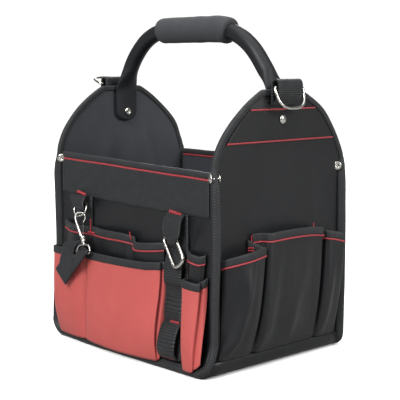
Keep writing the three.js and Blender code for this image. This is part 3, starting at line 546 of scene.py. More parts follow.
def rivet(middle, way, grip):
    """A tubular rivet turned from its profile: a domed head one way, a rolled ring the other."""
    half = grip / 2
    head, bore = RIVET_HEAD, RIVET_BORE
    profile = [(0.0, half + 2.4), (head * 0.35, half + 2.25), (head * 0.68, half + 1.75),
               (head * 0.92, half + 0.9), (head, half + 0.25), (head * 0.97, half), (head * 0.5, half),
               (head * 0.5, -half), (head * 0.88, -half), (head * 0.95, -half - 0.5),
               (head * 0.84, -half - 1.15), (head * 0.62, -half - 1.4), (bore * 1.35, -half - 1.2),
               (bore, -half - 0.6), (bore * 0.96, -half + 1.5), (0.0, -half + 1.6)]
    return spun(profile, middle, way, 28)


# Nickel-plated steel: bright and slightly warm, with soft cloudy reflections.
nickel = plated("bright_nickel_plate", "#9a9995", "#d8d6cf", 0.16)
for y_name, x_name, side, x_side, inset, proud, height, head_way in CORNER_RIVETS:
    at = Vector((x_side * (SEAM_X - inset) + proud, side * (SEAM_Y - 0.6 * inset) - proud, height))
    show(f"corner_rivet_shown_{y_name}_{x_name}", rivet(at, (*head_way, 0), SEAM_THICK + 0.8),
         nickel, [f"corner_rivet_{y_name}_{x_name}"])

# Rim tapes: the same woven tape folded over the top edges of the front and back walls. A thin red piping
# is caught under its lower edge, on the outside and the inside.
PIPING = 1.15
RIM_LEFT = -126.0


def strung(lines, radius, closed=False, sides=3, thin=1.0):
    """Round cord or wire along lines of points, as one mesh, drawn down to a thin share past its middle."""
    curve = bpy.data.curves.new("line", "CURVE")
    curve.dimensions = "3D"
    curve.bevel_depth = radius * MM
    curve.bevel_resolution = sides
    curve.use_fill_caps = True
    for line in lines:
        run = curve.splines.new("POLY")
        run.points.add(len(line) - 1)
        run.use_cyclic_u = closed
        for k, (point, at) in enumerate(zip(run.points, line)):
            point.co = (*(Vector(at) * MM), 1.0)
            point.radius = mix(1.0, thin, eased(k / len(line), 0.25, 0.5))
    holder = bpy.data.objects.new("line", curve)
    mesh = bpy.data.meshes.new_from_object(holder)
    bpy.data.objects.remove(holder)
    bpy.data.curves.remove(curve)
    return mesh


def corded(name, colour, lit, twist):
    """Red cord or thread: dull, with the slanting strands of its twist as a fine bump."""
    material, shader, spot = begun(name)
    strands = add_node(material, "ShaderNodeTexWave", {
        "Vector": spot.outputs["Object"], "Scale": 0.32 / (twist * MM), "Distortion": 1.5, "Detail": 2.0},
        bands_direction="DIAGONAL")
    tint = add_node(material, "ShaderNodeMix", {
        0: strands.outputs["Fac"], 6: linear(colour), 7: linear(lit)}, data_type="RGBA")
    twisted = add_node(material, "ShaderNodeBump", {
        "Height": strands.outputs["Fac"], "Strength": 0.5, "Distance": 0.15 * MM})
    feed(material, shader, {
        "Base Color": tint.outputs[2], "Normal": twisted.outputs["Normal"], "Roughness": 0.6,
        "Sheen Weight": 0.05})
    return material


# Red polyester piping: a twisted cord covered in thin red cloth, deep red and a little pink where lit.
red_piping = corded("red_polyester_piping", "#741820", "#93262f", 1.6)
for name, side, top in WALLS:
    line = []
    for k in range(91):
        x = mix(RIM_LEFT if side < 0 else -RIM_HALF, RIM_HALF, k / 90)
        worked = noise.noise((x / 22, side * 9.0, 1.7))
        sag = 0.3 * noise.noise((x / 40, side, 0.5))
        middle = Vector((x, side * FRONT_Y, top(x) - RIM_DEEP / 2 + sag))
        line.append((middle, Vector((0, 0, 1)), Vector((0, 1, 0)),
                     RIM_DEEP / 2 + 0.2 * worked, EDGE_THICK / 2 + 0.25 * worked))
    show(f"{name}_rim_tape", barred(closed_ends(line, 1.5), square=0.7), edge_tape,
         [f"{name}_rim_binding"])
    sewn(f"{name}_rim_stitches", sewn_through(line[1:-1], 2.4), black_thread)
    cords = []
    for flank in (-1, 1):
        reach = 2.2 if flank == side else 1.5
        cords.append([m - d * (RIM_DEEP / 2 + 0.5) + t * flank * reach for m, d, t, *_ in line])
    show(f"{name}_rim_piping", strung(cords, PIPING), red_piping)

# Gable tapes: tape folded over the edge of each end wall, up one shoulder, over the flat top and down the
# other, and sewn through close to its inner edge.
gable_ring = [Vector((0, -p.y, p.z)) for p in gable_round] + list(reversed(gable_round))
gable_ring = [p for i, p in enumerate(gable_ring) if not i or (p - gable_ring[i - 1]).length > 0.05]
for name, side in ENDS:
    ring = [p + Vector((0, pulled(side, p.y, p.z), 0)) for p in gable_ring]
    far = measured(ring)
    line = []
    for k in range(131):
        reach = k / 130 * far[-1]
        at = spot_at(ring, far, reach)[0]
        ahead = spot_at(ring, far, reach + 4)[0] - spot_at(ring, far, reach - 4)[0]
        out = Vector((0, -ahead.z, ahead.y)).normalized()
        worked = noise.noise((at.y / 24, side * 4.0, at.z / 24))
        line.append((Vector((side * END_X, at.y, at.z)) - out * EDGE_DEEP / 2, out, Vector((1, 0, 0)),
                     EDGE_DEEP / 2 + 0.2 * worked, EDGE_THICK / 2 + 0.2 * worked))
    show(f"gable_tape_{name}", barred(line), edge_tape, [f"gable_binding_{name}"])
    sewn(f"gable_tape_stitches_{name}", sewn_through(line, 2.0), black_thread)

# Woven band: a wide strip of heavy ribbed webbing sewn flat below the front rim, which the straps hang
# from. Its lower edge is stitched, and so are its two ends.
BAND_LOW, BAND_HALF = 170.0, 128.8
BAND_OUT, BAND_SAG = 0.9, 1.8
# What is sewn to the front follows the push at its foot up to this height, higher than the wall does.
SEWN_ON_KICK = 100.0


def front(x, out, z):
    """A place on the front, at a distance out from the wall's face."""
    return Vector((x, -(FRONT_FACE + out + kicked(x, z, SEWN_ON_KICK)), z))


def band_place(u, v):
    x = mix(RIM_LEFT, BAND_HALF, u)
    low = BAND_LOW + rise(x) - BAND_SAG * math.sin(math.pi * u)
    return front(x, BAND_OUT, mix(low, rim_top(x) - RIM_DEEP - 0.3, v))


# Ribbed polypropylene band: raised ribs along its length, about 1.6 mm apart and drawn at 2 mm.
ribbed_band = woven("black_ribbed_band", "#151618", "#242628", (1.5, 1.0), 0.14, 0.55, 0.05, blotch=10.0,
                    grain=0.25, ribs=True)
band = show("front_band_cloth", laid(90, 16, band_place, (2 * BAND_HALF, 40.0)), ribbed_band,
            ["front_band"], thick=1.2)
band_rows = [[(u / 60 * 0.98 + 0.01, 0.06) for u in range(61)]]
band_rows += [[(u, 0.1 + 0.8 * k / 10) for k in range(11)] for u in (0.009, 0.991)]
sewn("front_band_stitches", [[(band_place(u, v) + Vector((0, -0.62, 0)), (0, -1, 0)) for u, v in row]
                             for row in band_rows], black_thread)

# Gable patches: a second layer of black cloth across each gable, where the handle rivet pulls. Its upper
# and lower edges are turned under and piped in red.
PATCH_LOW, PATCH_HIGH = 246.0, 281.0
PATCH_OUT = 0.9
# Tightly woven black canvas: duller and deeper than the walls, with hardly any shine.
patch_canvas = woven("black_canvas_patch", "#0b0c0d", "#121315", (1.3, 1.3), 0.09, 0.62, 0.02)
for name, side in ENDS:

    def patch_place(u, v):
        z = mix(PATCH_LOW, PATCH_HIGH, v)
        half = gable_half(min(z + 3.5, GABLE_TOP)) - EDGE_DEEP - 1.6
        y = side * (2 * u - 1) * half
        return (side * (END_FACE + PATCH_OUT), y + pulled(side, y, z), z)

    patch = show(f"gable_patch_cloth_{name}", laid(48, 16, patch_place, (150.0, 35.0)),
                 patch_canvas, [f"gable_patch_{name}"], thick=1.2)
    cords = []
    rows = []
    for v, nudge in ((0.0, 0.4), (1.0, -0.4)):
        edge = [Vector(patch_place(u / 40, v)) + Vector((side * 0.5, 0, nudge)) for u in range(41)]
        cords.append(edge)
        rows.append([(p + Vector((side * 0.15, 0, 8 * nudge)), (side, 0, 0)) for p in edge])
    show(f"gable_patch_piping_{name}", strung(cords, 0.95), red_piping)
    sewn(f"gable_patch_stitches_{name}", rows, black_thread)

# Black pockets on the front: a row of flat tool pockets behind the red ones, from one piece of cloth that
# is sewn down between the pockets, with tape on its top edge, red piping below that, and red bar tacks.
POCKET_CLOTH = 1.5
POCKET_TAPE, POCKET_TAPE_THICK = 9.0, 3.2
# A pocket is at its full width a little below its tape, and v (1 - v)^2 times the swell is 1 at its most.
FULL_WIDTH, BELLY_SWELL = 1.04, 6.75
# A ridge fades in above the foot, over this share of the height, and out towards the tape.
RIDGE_FOOT, RIDGE_GAIN = 0.22, 1.3
FACES = {
    "front": front,
    "right": lambda along, out, z: Vector((END_FACE + out, along - dragged(END_X, along, z), z)),
    "left": lambda along, out, z: Vector((-(END_FACE + out), along - dragged(-END_X, along, z), z)),
}


def pocket(name, face, folds, low, cloth, across, waves, ridges=(), piped=True, seams=()):
    """A pocket wall through fold lines of (along, out, top, low along, low out, belly), taped at its top.

    A belly is how far the fold line swells low down, waves is how far the cloth ripples, and a ridge is
    (along at the top, along at the foot, lift, width before it, width after it).
    """
    place = FACES[face]
    tops = [Vector((f[0], f[1], f[2])) for f in folds]
    lows = [Vector((f[3], f[4], low(f[3], f[4]))) for f in folds]
    bellies = [Vector((f[5] if len(f) > 5 else 0.0, 0, 0)) for f in folds]
    seed = sum(map(ord, name)) * 0.37

    def wall_place(u, v, proud=0.0):
        top, foot = spline(tops, u), spline(lows, u)
        along, z = mix(foot.x, top.x, v), mix(foot.z, top.z - POCKET_TAPE + 4.0, v)
        out = mix(foot.y, top.y, math.sin(min(1.0, v * FULL_WIDTH) * math.pi / 2))
        out += spline(bellies, u).x * BELLY_SWELL * v * (1 - v) ** 2
        free = math.sin(math.pi * min(1.0, v)) ** 0.8 * math.sin(math.pi * u) ** 0.5
        ripple = noise.noise((along / 16, z / 75, seed)) + 0.5 * noise.noise((along / 7, z / 40, seed + 4))
        out += free * waves * ripple
        for at_top, at_foot, lift, before, after in ridges:
            middle = mix(at_foot, at_top, v)
            held = eased(v, 0.0, RIDGE_FOOT) * (1 - v) * RIDGE_GAIN
            out += held * lift * bump(along, middle, before if along < middle else after)
        return place(along, max(out, 0.95) + proud, z)

    count = across * (len(folds) - 1)
    top_line = [spline(tops, k / count) for k in range(count + 1)]
    top_far = measured(top_line)
    height = tops[0].z - lows[0].z
    made = show(f"{name}_cloth", laid(count, 40, wall_place, (top_far[-1], height),
                                      run=lambda u: top_far[round(u * count)]),
                cloth, [name], thick=POCKET_CLOTH)
    line = []
    for k, top in enumerate(top_line):
        way = spline(tops, min(1.0, k / count + 0.004)) - spline(tops, max(0.0, k / count - 0.004))
        middle = place(top.x, top.y, top.z - POCKET_TAPE / 2)
        aside = place(top.x - way.y, top.y + way.x, top.z - POCKET_TAPE / 2)
        worked = noise.noise((top.x / 18, top.y / 18, seed + 2))
        line.append((middle, Vector((0, 0, 1)), (aside - middle).normalized(),
                     POCKET_TAPE / 2 + 0.25 * worked, POCKET_TAPE_THICK / 2 + 0.15 * worked))
    show(f"{name}_tape", barred(closed_ends(line, 1.0), around=14), edge_tape,
         [f"{name}_binding"])
    rows = [sewn_through(line, 1.8)[1]]
    for u in seams:
        way_out = place(0, 1, 0) - place(0, 0, 0)
        rows.append([(wall_place(u, v / 30, 0.85), way_out) for v in range(2, 30)])
    sewn(f"{name}_stitches", rows, black_thread, pitch=3.2, long=2.2)
    if piped:
        cords = [[m - d * (POCKET_TAPE / 2 + 0.4) + t * 1.3 for m, d, t, *_ in line]]
        show(f"{name}_piping", strung(cords, 1.0), red_piping)
    return made


def tack(name, tacks):
    """Bar tacks of (middle, long way, cross way, length, width): thread carried closely to and fro."""
    lines = []
    for middle, long_way, cross_way, length, width in tacks:
        long_way, cross_way = Vector(long_way).normalized(), Vector(cross_way).normalized()
        turns = max(6, round(length / 0.75))
        lines.append([Vector(middle) + long_way * mix(-length / 2, length / 2, k / turns)
                      + cross_way * (width / 2 if k % 2 else -width / 2) for k in range(turns + 1)])
    return show(name, strung(lines, 0.5, sides=2), red_thread)


def front_seam(along, out):
    """Height of the bottom seam, which slopes down outwards and climbs round the corners of the bag."""
    return 13.0 - out + 0.045 * max(0.0, abs(along) - 117.0) ** 2


# Red embroidery thread, brighter and glossier than the piping.
red_thread = corded("red_polyester_thread", "#8f1823", "#b02f3a", 0.9)
tool_left = pocket("tool_pocket_left", "front", (
    (-119.5, 2.0, 143.0, -114.0, 1.3), (-95.0, 9.8, 141.0, -95.0, 1.5), (-66.0, 4.0, 140.5, -65.0, 1.3),
    (-38.0, 9.5, 140.5, -38.0, 1.5), (1.0, 8.5, 140.0, 5.0, 1.4), (10.0, 4.0, 137.5, 11.0, 1.3),
    (17.0, 8.5, 133.6, 20.0, 1.4), (42.0, 9.0, 135.0, 42.0, 1.5), (60.0, 2.0, 137.0, 58.0, 1.3)),
    front_seam, black_polyester, 14, 0.9, seams=(2 / 8, 5 / 8))
tool_right = pocket("tool_pocket_right", "front", (
    (98.6, 2.0, 132.6, 103.0, 1.3), (108.0, 8.0, 131.6, 107.0, 1.5), (119.0, 6.0, 129.6, 111.0, 1.4),
    (124.0, 2.0, 131.0, 114.0, 1.3)), front_seam, black_polyester, 12, 0.25)
tack("front_pocket_tacks", [
    (front(-65.5, 6.9, 140.0), (0, 0, 1), (1, 0, 0), 19.0, 1.5),
    (front(-64.0, 7.2, 133.8), (1, 0, 0), (0, 0, 1), 13.0, 1.5),
    (front(7.5, 7.0, 138.6), (0.3, 0, -0.95), (0.95, 0, 0.3), 8.0, 1.6),
])

# Red pockets on the front: a wide one in two compartments and a narrow one, of red polyester. Each stands
# out at its top, is gathered into the bottom seam, and has a plain black tape on its edge.
# Red plain-woven polyester: a warm red, a little pink where it catches light, with the black's weave.
red_polyester = woven("red_plain_woven_polyester", "#9b4340", "#aa4d49", (1.3, 1.3), 0.08, 0.52, 0.06)
large = pocket("front_pocket_large", "front", (
    (-124.5, 2.4, 112.5, -122.0, 3.2), (-122.5, 18.0, 113.5, -121.0, 5.0, 2.0),
    (-95.0, 21.0, 113.5, -95.0, 6.0, 1.0), (-70.0, 17.0, 113.5, -69.0, 5.0),
    (-64.5, 13.0, 113.5, -64.5, 4.4, -0.5), (-59.0, 16.0, 113.5, -60.0, 5.2, 0.5),
    (-10.0, 19.0, 113.8, -10.0, 7.0, 1.0), (40.0, 15.0, 114.3, 40.0, 6.0, 2.5),
    (58.5, 11.8, 116.0, 60.0, 5.0, 4.5), (61.5, 10.6, 116.0, 62.4, 4.6, 5.0),
    (60.6, 9.4, 116.1, 62.0, 4.4, 4.0), (58.2, 7.2, 116.2, 60.6, 4.0, 3.0),
    (60.5, 6.6, 116.3, 62.4, 3.8, 2.5), (63.2, 6.0, 116.4, 64.0, 3.6, 2.0), (64.3, 2.4, 116.5, 65.0, 3.0)),
    front_seam, red_polyester, 10, 0.4, piped=False, seams=(4 / 14,))
small = pocket("front_pocket_small", "front", (
    (99.8, 2.4, 104.0, 106.0, 2.8), (100.0, 11.8, 103.8, 106.0, 5.0, 1.0),
    (100.8, 13.2, 103.8, 106.6, 5.4, 1.5), (112.0, 15.0, 103.0, 113.0, 6.0, 1.5),
    (122.0, 12.0, 102.0, 118.6, 6.0, 2.0), (124.0, 11.0, 102.0, 120.0, 5.6, 1.5),
    (123.0, 9.4, 102.4, 119.6, 5.0, 0.8), (121.4, 7.4, 103.0, 119.0, 4.2), (124.0, 6.2, 104.4, 122.0, 3.6),
    (126.4, 5.2, 106.0, 125.6, 3.0), (127.6, 2.6, 107.5, 128.0, 2.4)),
    front_seam, red_polyester, 10, 0.4, piped=False)

# End pockets: three on each end, of black polyester. The first two are folded back at one side in a deep
# pleat that hangs over the next pocket, and all are gathered into the base seam.
# Rows: place, ripple, fold lines, ridges, and the flat cut in metres.
END_POCKETS = (
    ("front", 1.5, (
        (-92.0, 2.0, 126.0, -92.0, 1.3), (-87.5, 9.0, 128.5, -89.0, 2.8),
        (-66.0, 18.0, 133.0, -72.0, 4.5, 2.0), (-43.5, 15.6, 135.3, -54.0, 4.4, 3.0),
        (-40.0, 14.6, 135.5, -52.5, 4.0, 3.0), (-41.0, 12.0, 135.8, -53.0, 3.4, 1.5),
        (-52.0, 2.0, 143.0, -56.0, 1.3)),
     ((-58.0, -85.0, 7.5, 7.0, 4.5), (-78.0, -94.0, -3.0, 6.0, 6.0)), (0.062, 0.140)),
    ("middle", 0.9, (
        (-46.0, 2.0, 149.0, -51.0, 1.3), (-34.5, 2.4, 149.0, -46.5, 1.4),
        (-32.2, 5.5, 149.1, -45.0, 2.0, 0.6), (-30.0, 11.5, 149.2, -42.6, 3.4, 2.8),
        (-26.4, 13.6, 149.4, -38.6, 4.2, 3.5), (-20.0, 13.8, 149.7, -32.0, 4.0, 2.0),
        (5.0, 15.0, 150.5, 5.0, 4.0), (40.0, 13.4, 149.0, 34.0, 4.0, 1.0),
        (55.5, 11.6, 146.6, 46.5, 3.9, 2.5), (58.0, 10.8, 146.5, 48.0, 3.8, 2.5),
        (57.0, 8.6, 146.6, 47.4, 3.2, 1.0), (49.0, 2.0, 147.0, 45.0, 1.3)),
     ((-14.0, -32.0, 3.0, 8.0, 5.0), (36.0, 4.0, 2.6, 14.0, 7.0)), (0.128, 0.130)),
    ("back", 0.9, (
        (54.0, 2.0, 142.5, 47.5, 1.3), (63.2, 2.2, 142.2, 53.4, 1.4),
        (65.4, 5.0, 142.0, 55.2, 2.0, 0.6), (67.4, 10.5, 141.8, 57.4, 3.2, 2.4),
        (70.4, 13.2, 141.3, 61.0, 3.8, 2.5), (77.0, 14.5, 140.0, 70.0, 3.6, 1.0),
        (89.0, 17.0, 136.5, 87.5, 3.4), (90.2, 15.0, 135.8, 88.6, 3.0), (92.0, 2.0, 134.0, 91.5, 1.3)),
     ((78.0, 66.0, 2.4, 5.0, 4.0),), (0.052, 0.124)),
)
END_SEAM = 18.8
for face in ("right", "left"):
    for row, waves, folds, ridges, flat in END_POCKETS:
        made = pocket(f"end_pocket_{face}_{row}", face, folds, lambda along, out: END_SEAM, black_polyester,
                      12, waves, ridges=ridges)
    pleat = FACES[face](11.0, 10.0, 0.0) - FACES[face](0.0, 0.0, 0.0)
    tack(f"end_pocket_tacks_{face}", [
        (FACES[face](-49.0, 3.2, 143.0), (0, 0, 1), (0, 1, 0), 9.0, 1.4),
        (FACES[face](-51.8, 5.2, 134.8), pleat, (0, 0, 1), 6.0, 1.4),
        (FACES[face](-51.8, 5.2, 132.0), pleat, (0, 0, 1), 6.0, 1.2),
        (FACES[face](51.5, 3.4, 148.6), (0, 0, 1), (0, 1, 0), 4.5, 1.2),
    ])

# Front straps: heavy black webbing. On the right one strap is sewn flat and a second is tacked over it at
# the top, the waist and the foot, so that it stands out in loops. On the left a flat strap holds the hook.
STRAP, STRAP_X, HOOK_STRAP_X = 30.0, 81.8, -84.0
STRAP_TOP = BAND_LOW + rise(STRAP_X + STRAP / 2) - 0.3
HOOK_STRAP_TOP = BAND_LOW + rise(HOOK_STRAP_X + STRAP / 2) - 0.3
LOOPS, LOOPS_X = 27.4, 80.2
WEBBING = 1.6


def strip(name, width, rows, along, nodes, cloth):
    """Webbing through rows of (x, out, z, turn in degrees, width): its middle line on the front."""
    spots = [Vector((r[0], r[1], r[2])) for r in rows]
    turns = [Vector((r[3], r[4] or width, 0)) for r in rows]

    def strip_place(u, v):
        middle, turned = spline(spots, v), spline(turns, v)
        half = (u - 0.5) * turned.y
        tilt = math.radians(turned.x)
        crown = 0.35 * math.sin(math.pi * u) - 0.2
        return front(middle.x + half * math.cos(tilt), middle.y + crown, middle.z - half * math.sin(tilt))

    length = measured(spots)[-1]
    made = show(name, laid(10, along, strip_place, (width, length)), cloth, nodes, thick=WEBBING)
    return made


# Polypropylene webbing: coarse ribs across the strap, with a dry grey sheen on their crowns. The ribs are
# about 1.5 mm apart, and they are drawn at 1.9 mm.
webbing = woven("black_polypropylene_webbing", "#0f1011", "#26282a", (4.8, 0.95), 0.30, 0.5, 0.05,
                blotch=6.0, grain=0.32, ribs=True)
# Lighter nylon tape in a twill weave: fine slanting ribs, smoother and greyer than the webbing. The ribs
# are about 0.6 mm apart, and they are drawn at 1.4 mm.
twill_tape = woven("black_nylon_twill_tape", "#141517", "#222326", (1.4, 9.0), 0.12, 0.5, 0.04, blotch=12.0,
                   turn=38.0)
strip("strap_flat", STRAP, [(STRAP_X, 1.1, mix(13.5, STRAP_TOP, k / 3), 0, 0) for k in range(4)], 60,
      ["strap_base"], webbing)
strip("strap_looped", LOOPS, [(x or LOOPS_X, out, z, 0, width) for x, out, z, width in (
    (0, 3.4, 14.0, 0), (0, 9.0, 22.0, 0), (0, 9.5, 38.0, 0), (0, 6.4, 49.0, 0), (0, 3.0, 53.5, 0),
    (0, 4.4, 57.0, 0), (0, 5.5, 64.0, 0), (0, 5.4, 82.0, 0), (0, 6.2, 92.0, 0), (0, 8.6, 96.0, 0),
    (0, 8.6, 108.0, 0), (0, 6.8, 118.0, 0), (0, 4.6, 126.0, 0), (0, 3.0, 131.0, 20),
    (79.9, 4.2, 134.0, 11), (79.9, 8.6, 138.0, 11), (0, 10.4, 142.0, 15), (0, 10.6, 147.0, 24),
    (0, 10.4, 154.0, 0), (0, 9.4, 161.0, 0), (0, 7.0, 166.5, 0), (0, 3.0, STRAP_TOP, 0))], 170,
    ["strap_loops"], webbing)
strip("hook_strap_flat", STRAP, [(HOOK_STRAP_X, 1.1, mix(100.0, HOOK_STRAP_TOP, k / 3), 0, 0)
                                 for k in range(4)], 40, ["hook_strap_base"], webbing)
tack("strap_tacks", [
    (front(LOOPS_X, 4.6, STRAP_TOP + 0.6), (1, 0, -0.12), (0, 0, 1), 19.0, 3.4),
    (front(LOOPS_X + 4, 4.2, 53.5), (1, 0, 0), (0, 0, 1), 14.0, 2.6),
    (front(LOOPS_X, 4.6, 15.5), (1, 0, 0), (0, 0, 1), 19.0, 2.6),
    (front(-85.0, 4.6, HOOK_STRAP_TOP + 2.6), (1, 0, -0.17), (0, 0, 1), 17.0, 3.2),
])

# Carabiner: bent from one length of nickel-plated steel wire, hung in the top loop of the webbing. Its
# sprung gate is a separate straight wire that turns about its foot.
CLIP_WIRE = 2.0
CLIP_HALF, CLIP_LONG = 8.2, 40.0


def wire_plane(top, down, twist=0.0):
    """Places across and down a plane of wire, from a point (x, out, z) on the front, and its way down."""
    start = front(*top)
    fall = Vector((down[0], -down[1], down[2])).normalized()
    level = (Vector((1, 0, 0)) - fall * fall.x).normalized()
    level.rotate(Matrix.Rotation(math.radians(twist), 3, fall))
    return lambda u, v: start + level * u + fall * v, fall


def bent(place, corners, closed=False, step=0.8):
    return rounded([(*place(u, v), cut) for u, v, cut in corners], step=step, closed=closed)


clip = wire_plane((69.8, 6.1, 147.4), (0.66, 0.17, -0.735))[0]
show("carabiner_wire", strung([bent(clip, (
    (-CLIP_HALF, 32.1, 0), (-CLIP_HALF, CLIP_LONG, 7.9), (CLIP_HALF, CLIP_LONG, 8.1), (CLIP_HALF, 0, 7),
    (-CLIP_HALF, 0, 7), (-CLIP_HALF, 12.9, 0)))], CLIP_WIRE, sides=6), nickel, ["carabiner"])
show("carabiner_gate_wire", strung([[clip(-CLIP_HALF, mix(31.2, 13.2, k / 12)) for k in range(13)]],
                                   CLIP_WIRE * 0.85, sides=6),
     nickel, ["carabiner_gate"], body="carabiner_gate")

# Hook tab and ring: a short fold of twill tape tacked to the band on the left, with a small D-shaped ring
# of plated wire in its fold.
strip("hook_tab_fold", 24.0, (
    (-88.5, 3.0, HOOK_STRAP_TOP, 0, 30), (-87.5, 8.4, 174.0, 0, 30), (-83.5, 12.6, 170.0, 0, 25),
    (-79.0, 14.6, 165.5, 0, 19), (-77.5, 13.9, 162.0, 0, 18), (-77.5, 11.4, 160.8, 0, 18),
    (-77.5, 9.0, 162.6, 0, 18), (-78.5, 8.0, 167.5, 0, 18)), 44, ["hook_tab"], twill_tape)
SMALL_WIRE = 1.1
RING_HALF, RING_DROP = 10.9, 12.0
ring = wire_plane((-77.5, 11.5, 164.0), (0.06, 0.34, -0.94))[0]
show("hook_ring_wire", strung([bent(ring, (
    (RING_HALF, 0, 2), (RING_HALF, RING_DROP / 2, 2), (RING_HALF / 2, RING_DROP, 4.5),
    (-RING_HALF / 2, RING_DROP, 4.5), (-RING_HALF, RING_DROP / 2, 2), (-RING_HALF, 0, 2)), closed=True)],
    SMALL_WIRE, closed=True, sides=5), nickel, ["hook_ring"])

# Snap hook: a small plated casting with a round hook, a stem and a barrel. A sprung gate closes the hook,
# and a wire eye swivels in the end of the barrel and holds a loose strap.
hook_start = ring(0, RING_DROP - 4)
hook, hook_fall = wire_plane(
    (hook_start.x, -hook_start.y - FRONT_FACE, hook_start.z), (0.5, 0.22, -0.84), -45)
BARREL_END = 38.0
show("snap_hook_stem", strung([bent(hook, (
    (-1, 33, 0), (-2.2, 28, 2), (-5.6, 9, 3), (-5.4, 0, 5), (5.4, 0, 5), (6, 9, 3), (2.8, 13.3, 0)))], 1.6,
    sides=6, thin=0.68), nickel, ["snap_hook"])
show("snap_hook_barrel", spun((
    (0, 30.6), (2.2, 30.6), (3.0, 31.2), (3.2, 32.2), (3.2, 34.0), (2.7, 34.4), (2.7, 35.0), (3.2, 35.4),
    (3.2, 37.2), (2.8, BARREL_END), (0, BARREL_END)), hook(0, 0), hook_fall, 24), nickel)
gate_flat = (hook(1, 0) - hook(0, 0)).cross(hook_fall)
gate_line = [(hook(mix(0.8, 2.6, k / 10), mix(28.4, 14.2, k / 10)), gate_flat,
              hook_fall.cross(gate_flat), 1.2, 0.5) for k in range(11)]
# Tempered spring steel strip: darker and duller than the plate round it.
spring_steel = plated("dark_spring_steel_strip", "#3c3d40", "#5a5b5e", 0.34)
show("snap_hook_gate_lever", barred(closed_ends(gate_line, 0.4), around=12), spring_steel,
     ["snap_hook_gate"], body="snap_hook_gate")
barrel_end = hook(0, BARREL_END + 0.3)
eye, eye_fall = wire_plane((barrel_end.x, -barrel_end.y - FRONT_FACE, barrel_end.z), (0.16, 0.22, -0.96))
show("snap_hook_eye_wire", strung([bent(eye, (
    (12, 12.6, 2.5), (12, 2.4, 9.5), (-12, 2.4, 9.5), (-12, 12.6, 2.5)), closed=True)],
    SMALL_WIRE, closed=True, sides=5), nickel, ["snap_hook_eye"])
show("snap_hook_stud", spun(((0, 0.1), (1.7, 0.1), (1.9, 0.5), (1.9, 3.0), (1.6, 3.6), (0, 3.6)),
                            eye(0, 0), eye_fall, 24), nickel)

# Loose strap: twill tape folded over the bar of the swivel eye, with its two plies hanging to the left
# over the edge of the red pocket.
FOLD = SMALL_WIRE + WEBBING / 2 + 0.7
bar_at = eye(0, 12.6)
bar_out = -bar_at.y - FRONT_FACE


def hanging(left, out, drop, turn, width):
    """A row of the loose strap, by how far to the left of the bar it is and how far below."""
    return (bar_at.x - left, out, bar_at.z - drop, turn, width)


over_bar = [(bar_at.x, bar_out - FOLD * math.cos(turn), bar_at.z + FOLD * math.sin(turn), -9, 0)
            for turn in (k / 4 * math.pi for k in range(5))]
strip("hook_strap_loose", 20.0, [
    hanging(37, 24.2, 21, 25, 24), hanging(31, 24.6, 5, 15, 23), hanging(28, 24.0, -6, 5, 21),
    hanging(22, 20.5, -11, -5, 20), hanging(11, bar_out - 3.6, -5, -9, 20)] + over_bar + [
    hanging(11, bar_out + 1.6, 6, 10, 22), hanging(28, 26.8, 18, 34, 25), hanging(42, 26.2, 33, 37, 26)],
    130, ["hook_strap"], twill_tape)

# Handle: a steel tube bent over the bag, powder-coated black, with each end flattened to a round-nosed
# tongue that lies inside the end wall and turns on a rivet.
TUBE = 9.5
TONGUE_X, TONGUE_END, PIVOT = END_X - 5.35, 258.6, 269.6
HANDLE_TOP, SHOULDER = 368.5, 300.0
# Rows: distance from the end, half width, half thickness.
FLATTENED = ((0.0, 5.0, 1.6), (0.8, 8.0, 1.9), (2.0, 10.8, 2.0), (4.0, 13.4, 2.0), (7.0, 15.4, 2.0),
             (12.0, 16.4, 2.0), (40.0, 16.4, 2.0), (48.0, 15.0, 3.6), (57.0, 12.0, 6.6), (67.0, TUBE, TUBE))


def coated(name, colour, lit):
    """Powder coat: satin black with a fine orange-peel skin."""
    material, shader, spot = begun(name)
    peel = add_node(material, "ShaderNodeTexNoise", {
        "Vector": spot.outputs["Object"], "Scale": 1 / (1.6 * MM), "Detail": 2.0})
    smear = add_node(material, "ShaderNodeTexNoise", {
        "Vector": spot.outputs["Object"], "Scale": 1 / (30 * MM), "Detail": 4.0})
    tint = add_node(material, "ShaderNodeMix", {
        0: smear.outputs["Fac"], 6: linear(colour), 7: linear(lit)}, data_type="RGBA")
    gloss = add_node(material, "ShaderNodeMapRange", {
        "Value": smear.outputs["Fac"], "From Min": 0.3, "From Max": 0.7, "To Min": 0.36, "To Max": 0.48})
    skin = add_node(material, "ShaderNodeBump", {
        "Height": peel.outputs["Fac"], "Strength": 0.12, "Distance": 0.15 * MM})
    feed(material, shader, {
        "Base Color": tint.outputs[2], "Roughness": gloss.outputs[0], "Normal": skin.outputs["Normal"],
        "IOR": 1.5, "Specular IOR Level": 0.2})
    return material


handle_path = rounded([
    (TONGUE_X, 0, TONGUE_END, 0), (TONGUE_X, 0, SHOULDER, 10), (76.0, 0, HANDLE_TOP, 44),
    (-80.0, 0, HANDLE_TOP, 32), (-117.5, 0, 330.0, 18), (-TONGUE_X, 0, SHOULDER, 8),
    (-TONGUE_X, 0, TONGUE_END, 0)])
handle_far = measured(handle_path)
handle_long = handle_far[-1]


def flattened(distance):
    """Half the handle's width and thickness at a distance from its end."""
    for a, b in zip(FLATTENED, FLATTENED[1:]):
        if distance <= b[0]:
            share = (distance - a[0]) / (b[0] - a[0])
            return mix(a[1], b[1], share), mix(a[2], b[2], share)
    return TUBE, TUBE


def handle_at(distance, reach):
    """The handle's middle at a distance along it, and the way out of its bend."""
    ahead = (spot_at(handle_path, handle_far, distance + reach)[0]
             - spot_at(handle_path, handle_far, distance - reach)[0])
    return spot_at(handle_path, handle_far, distance)[0], ahead.cross(Vector((0, 1, 0))).normalized()


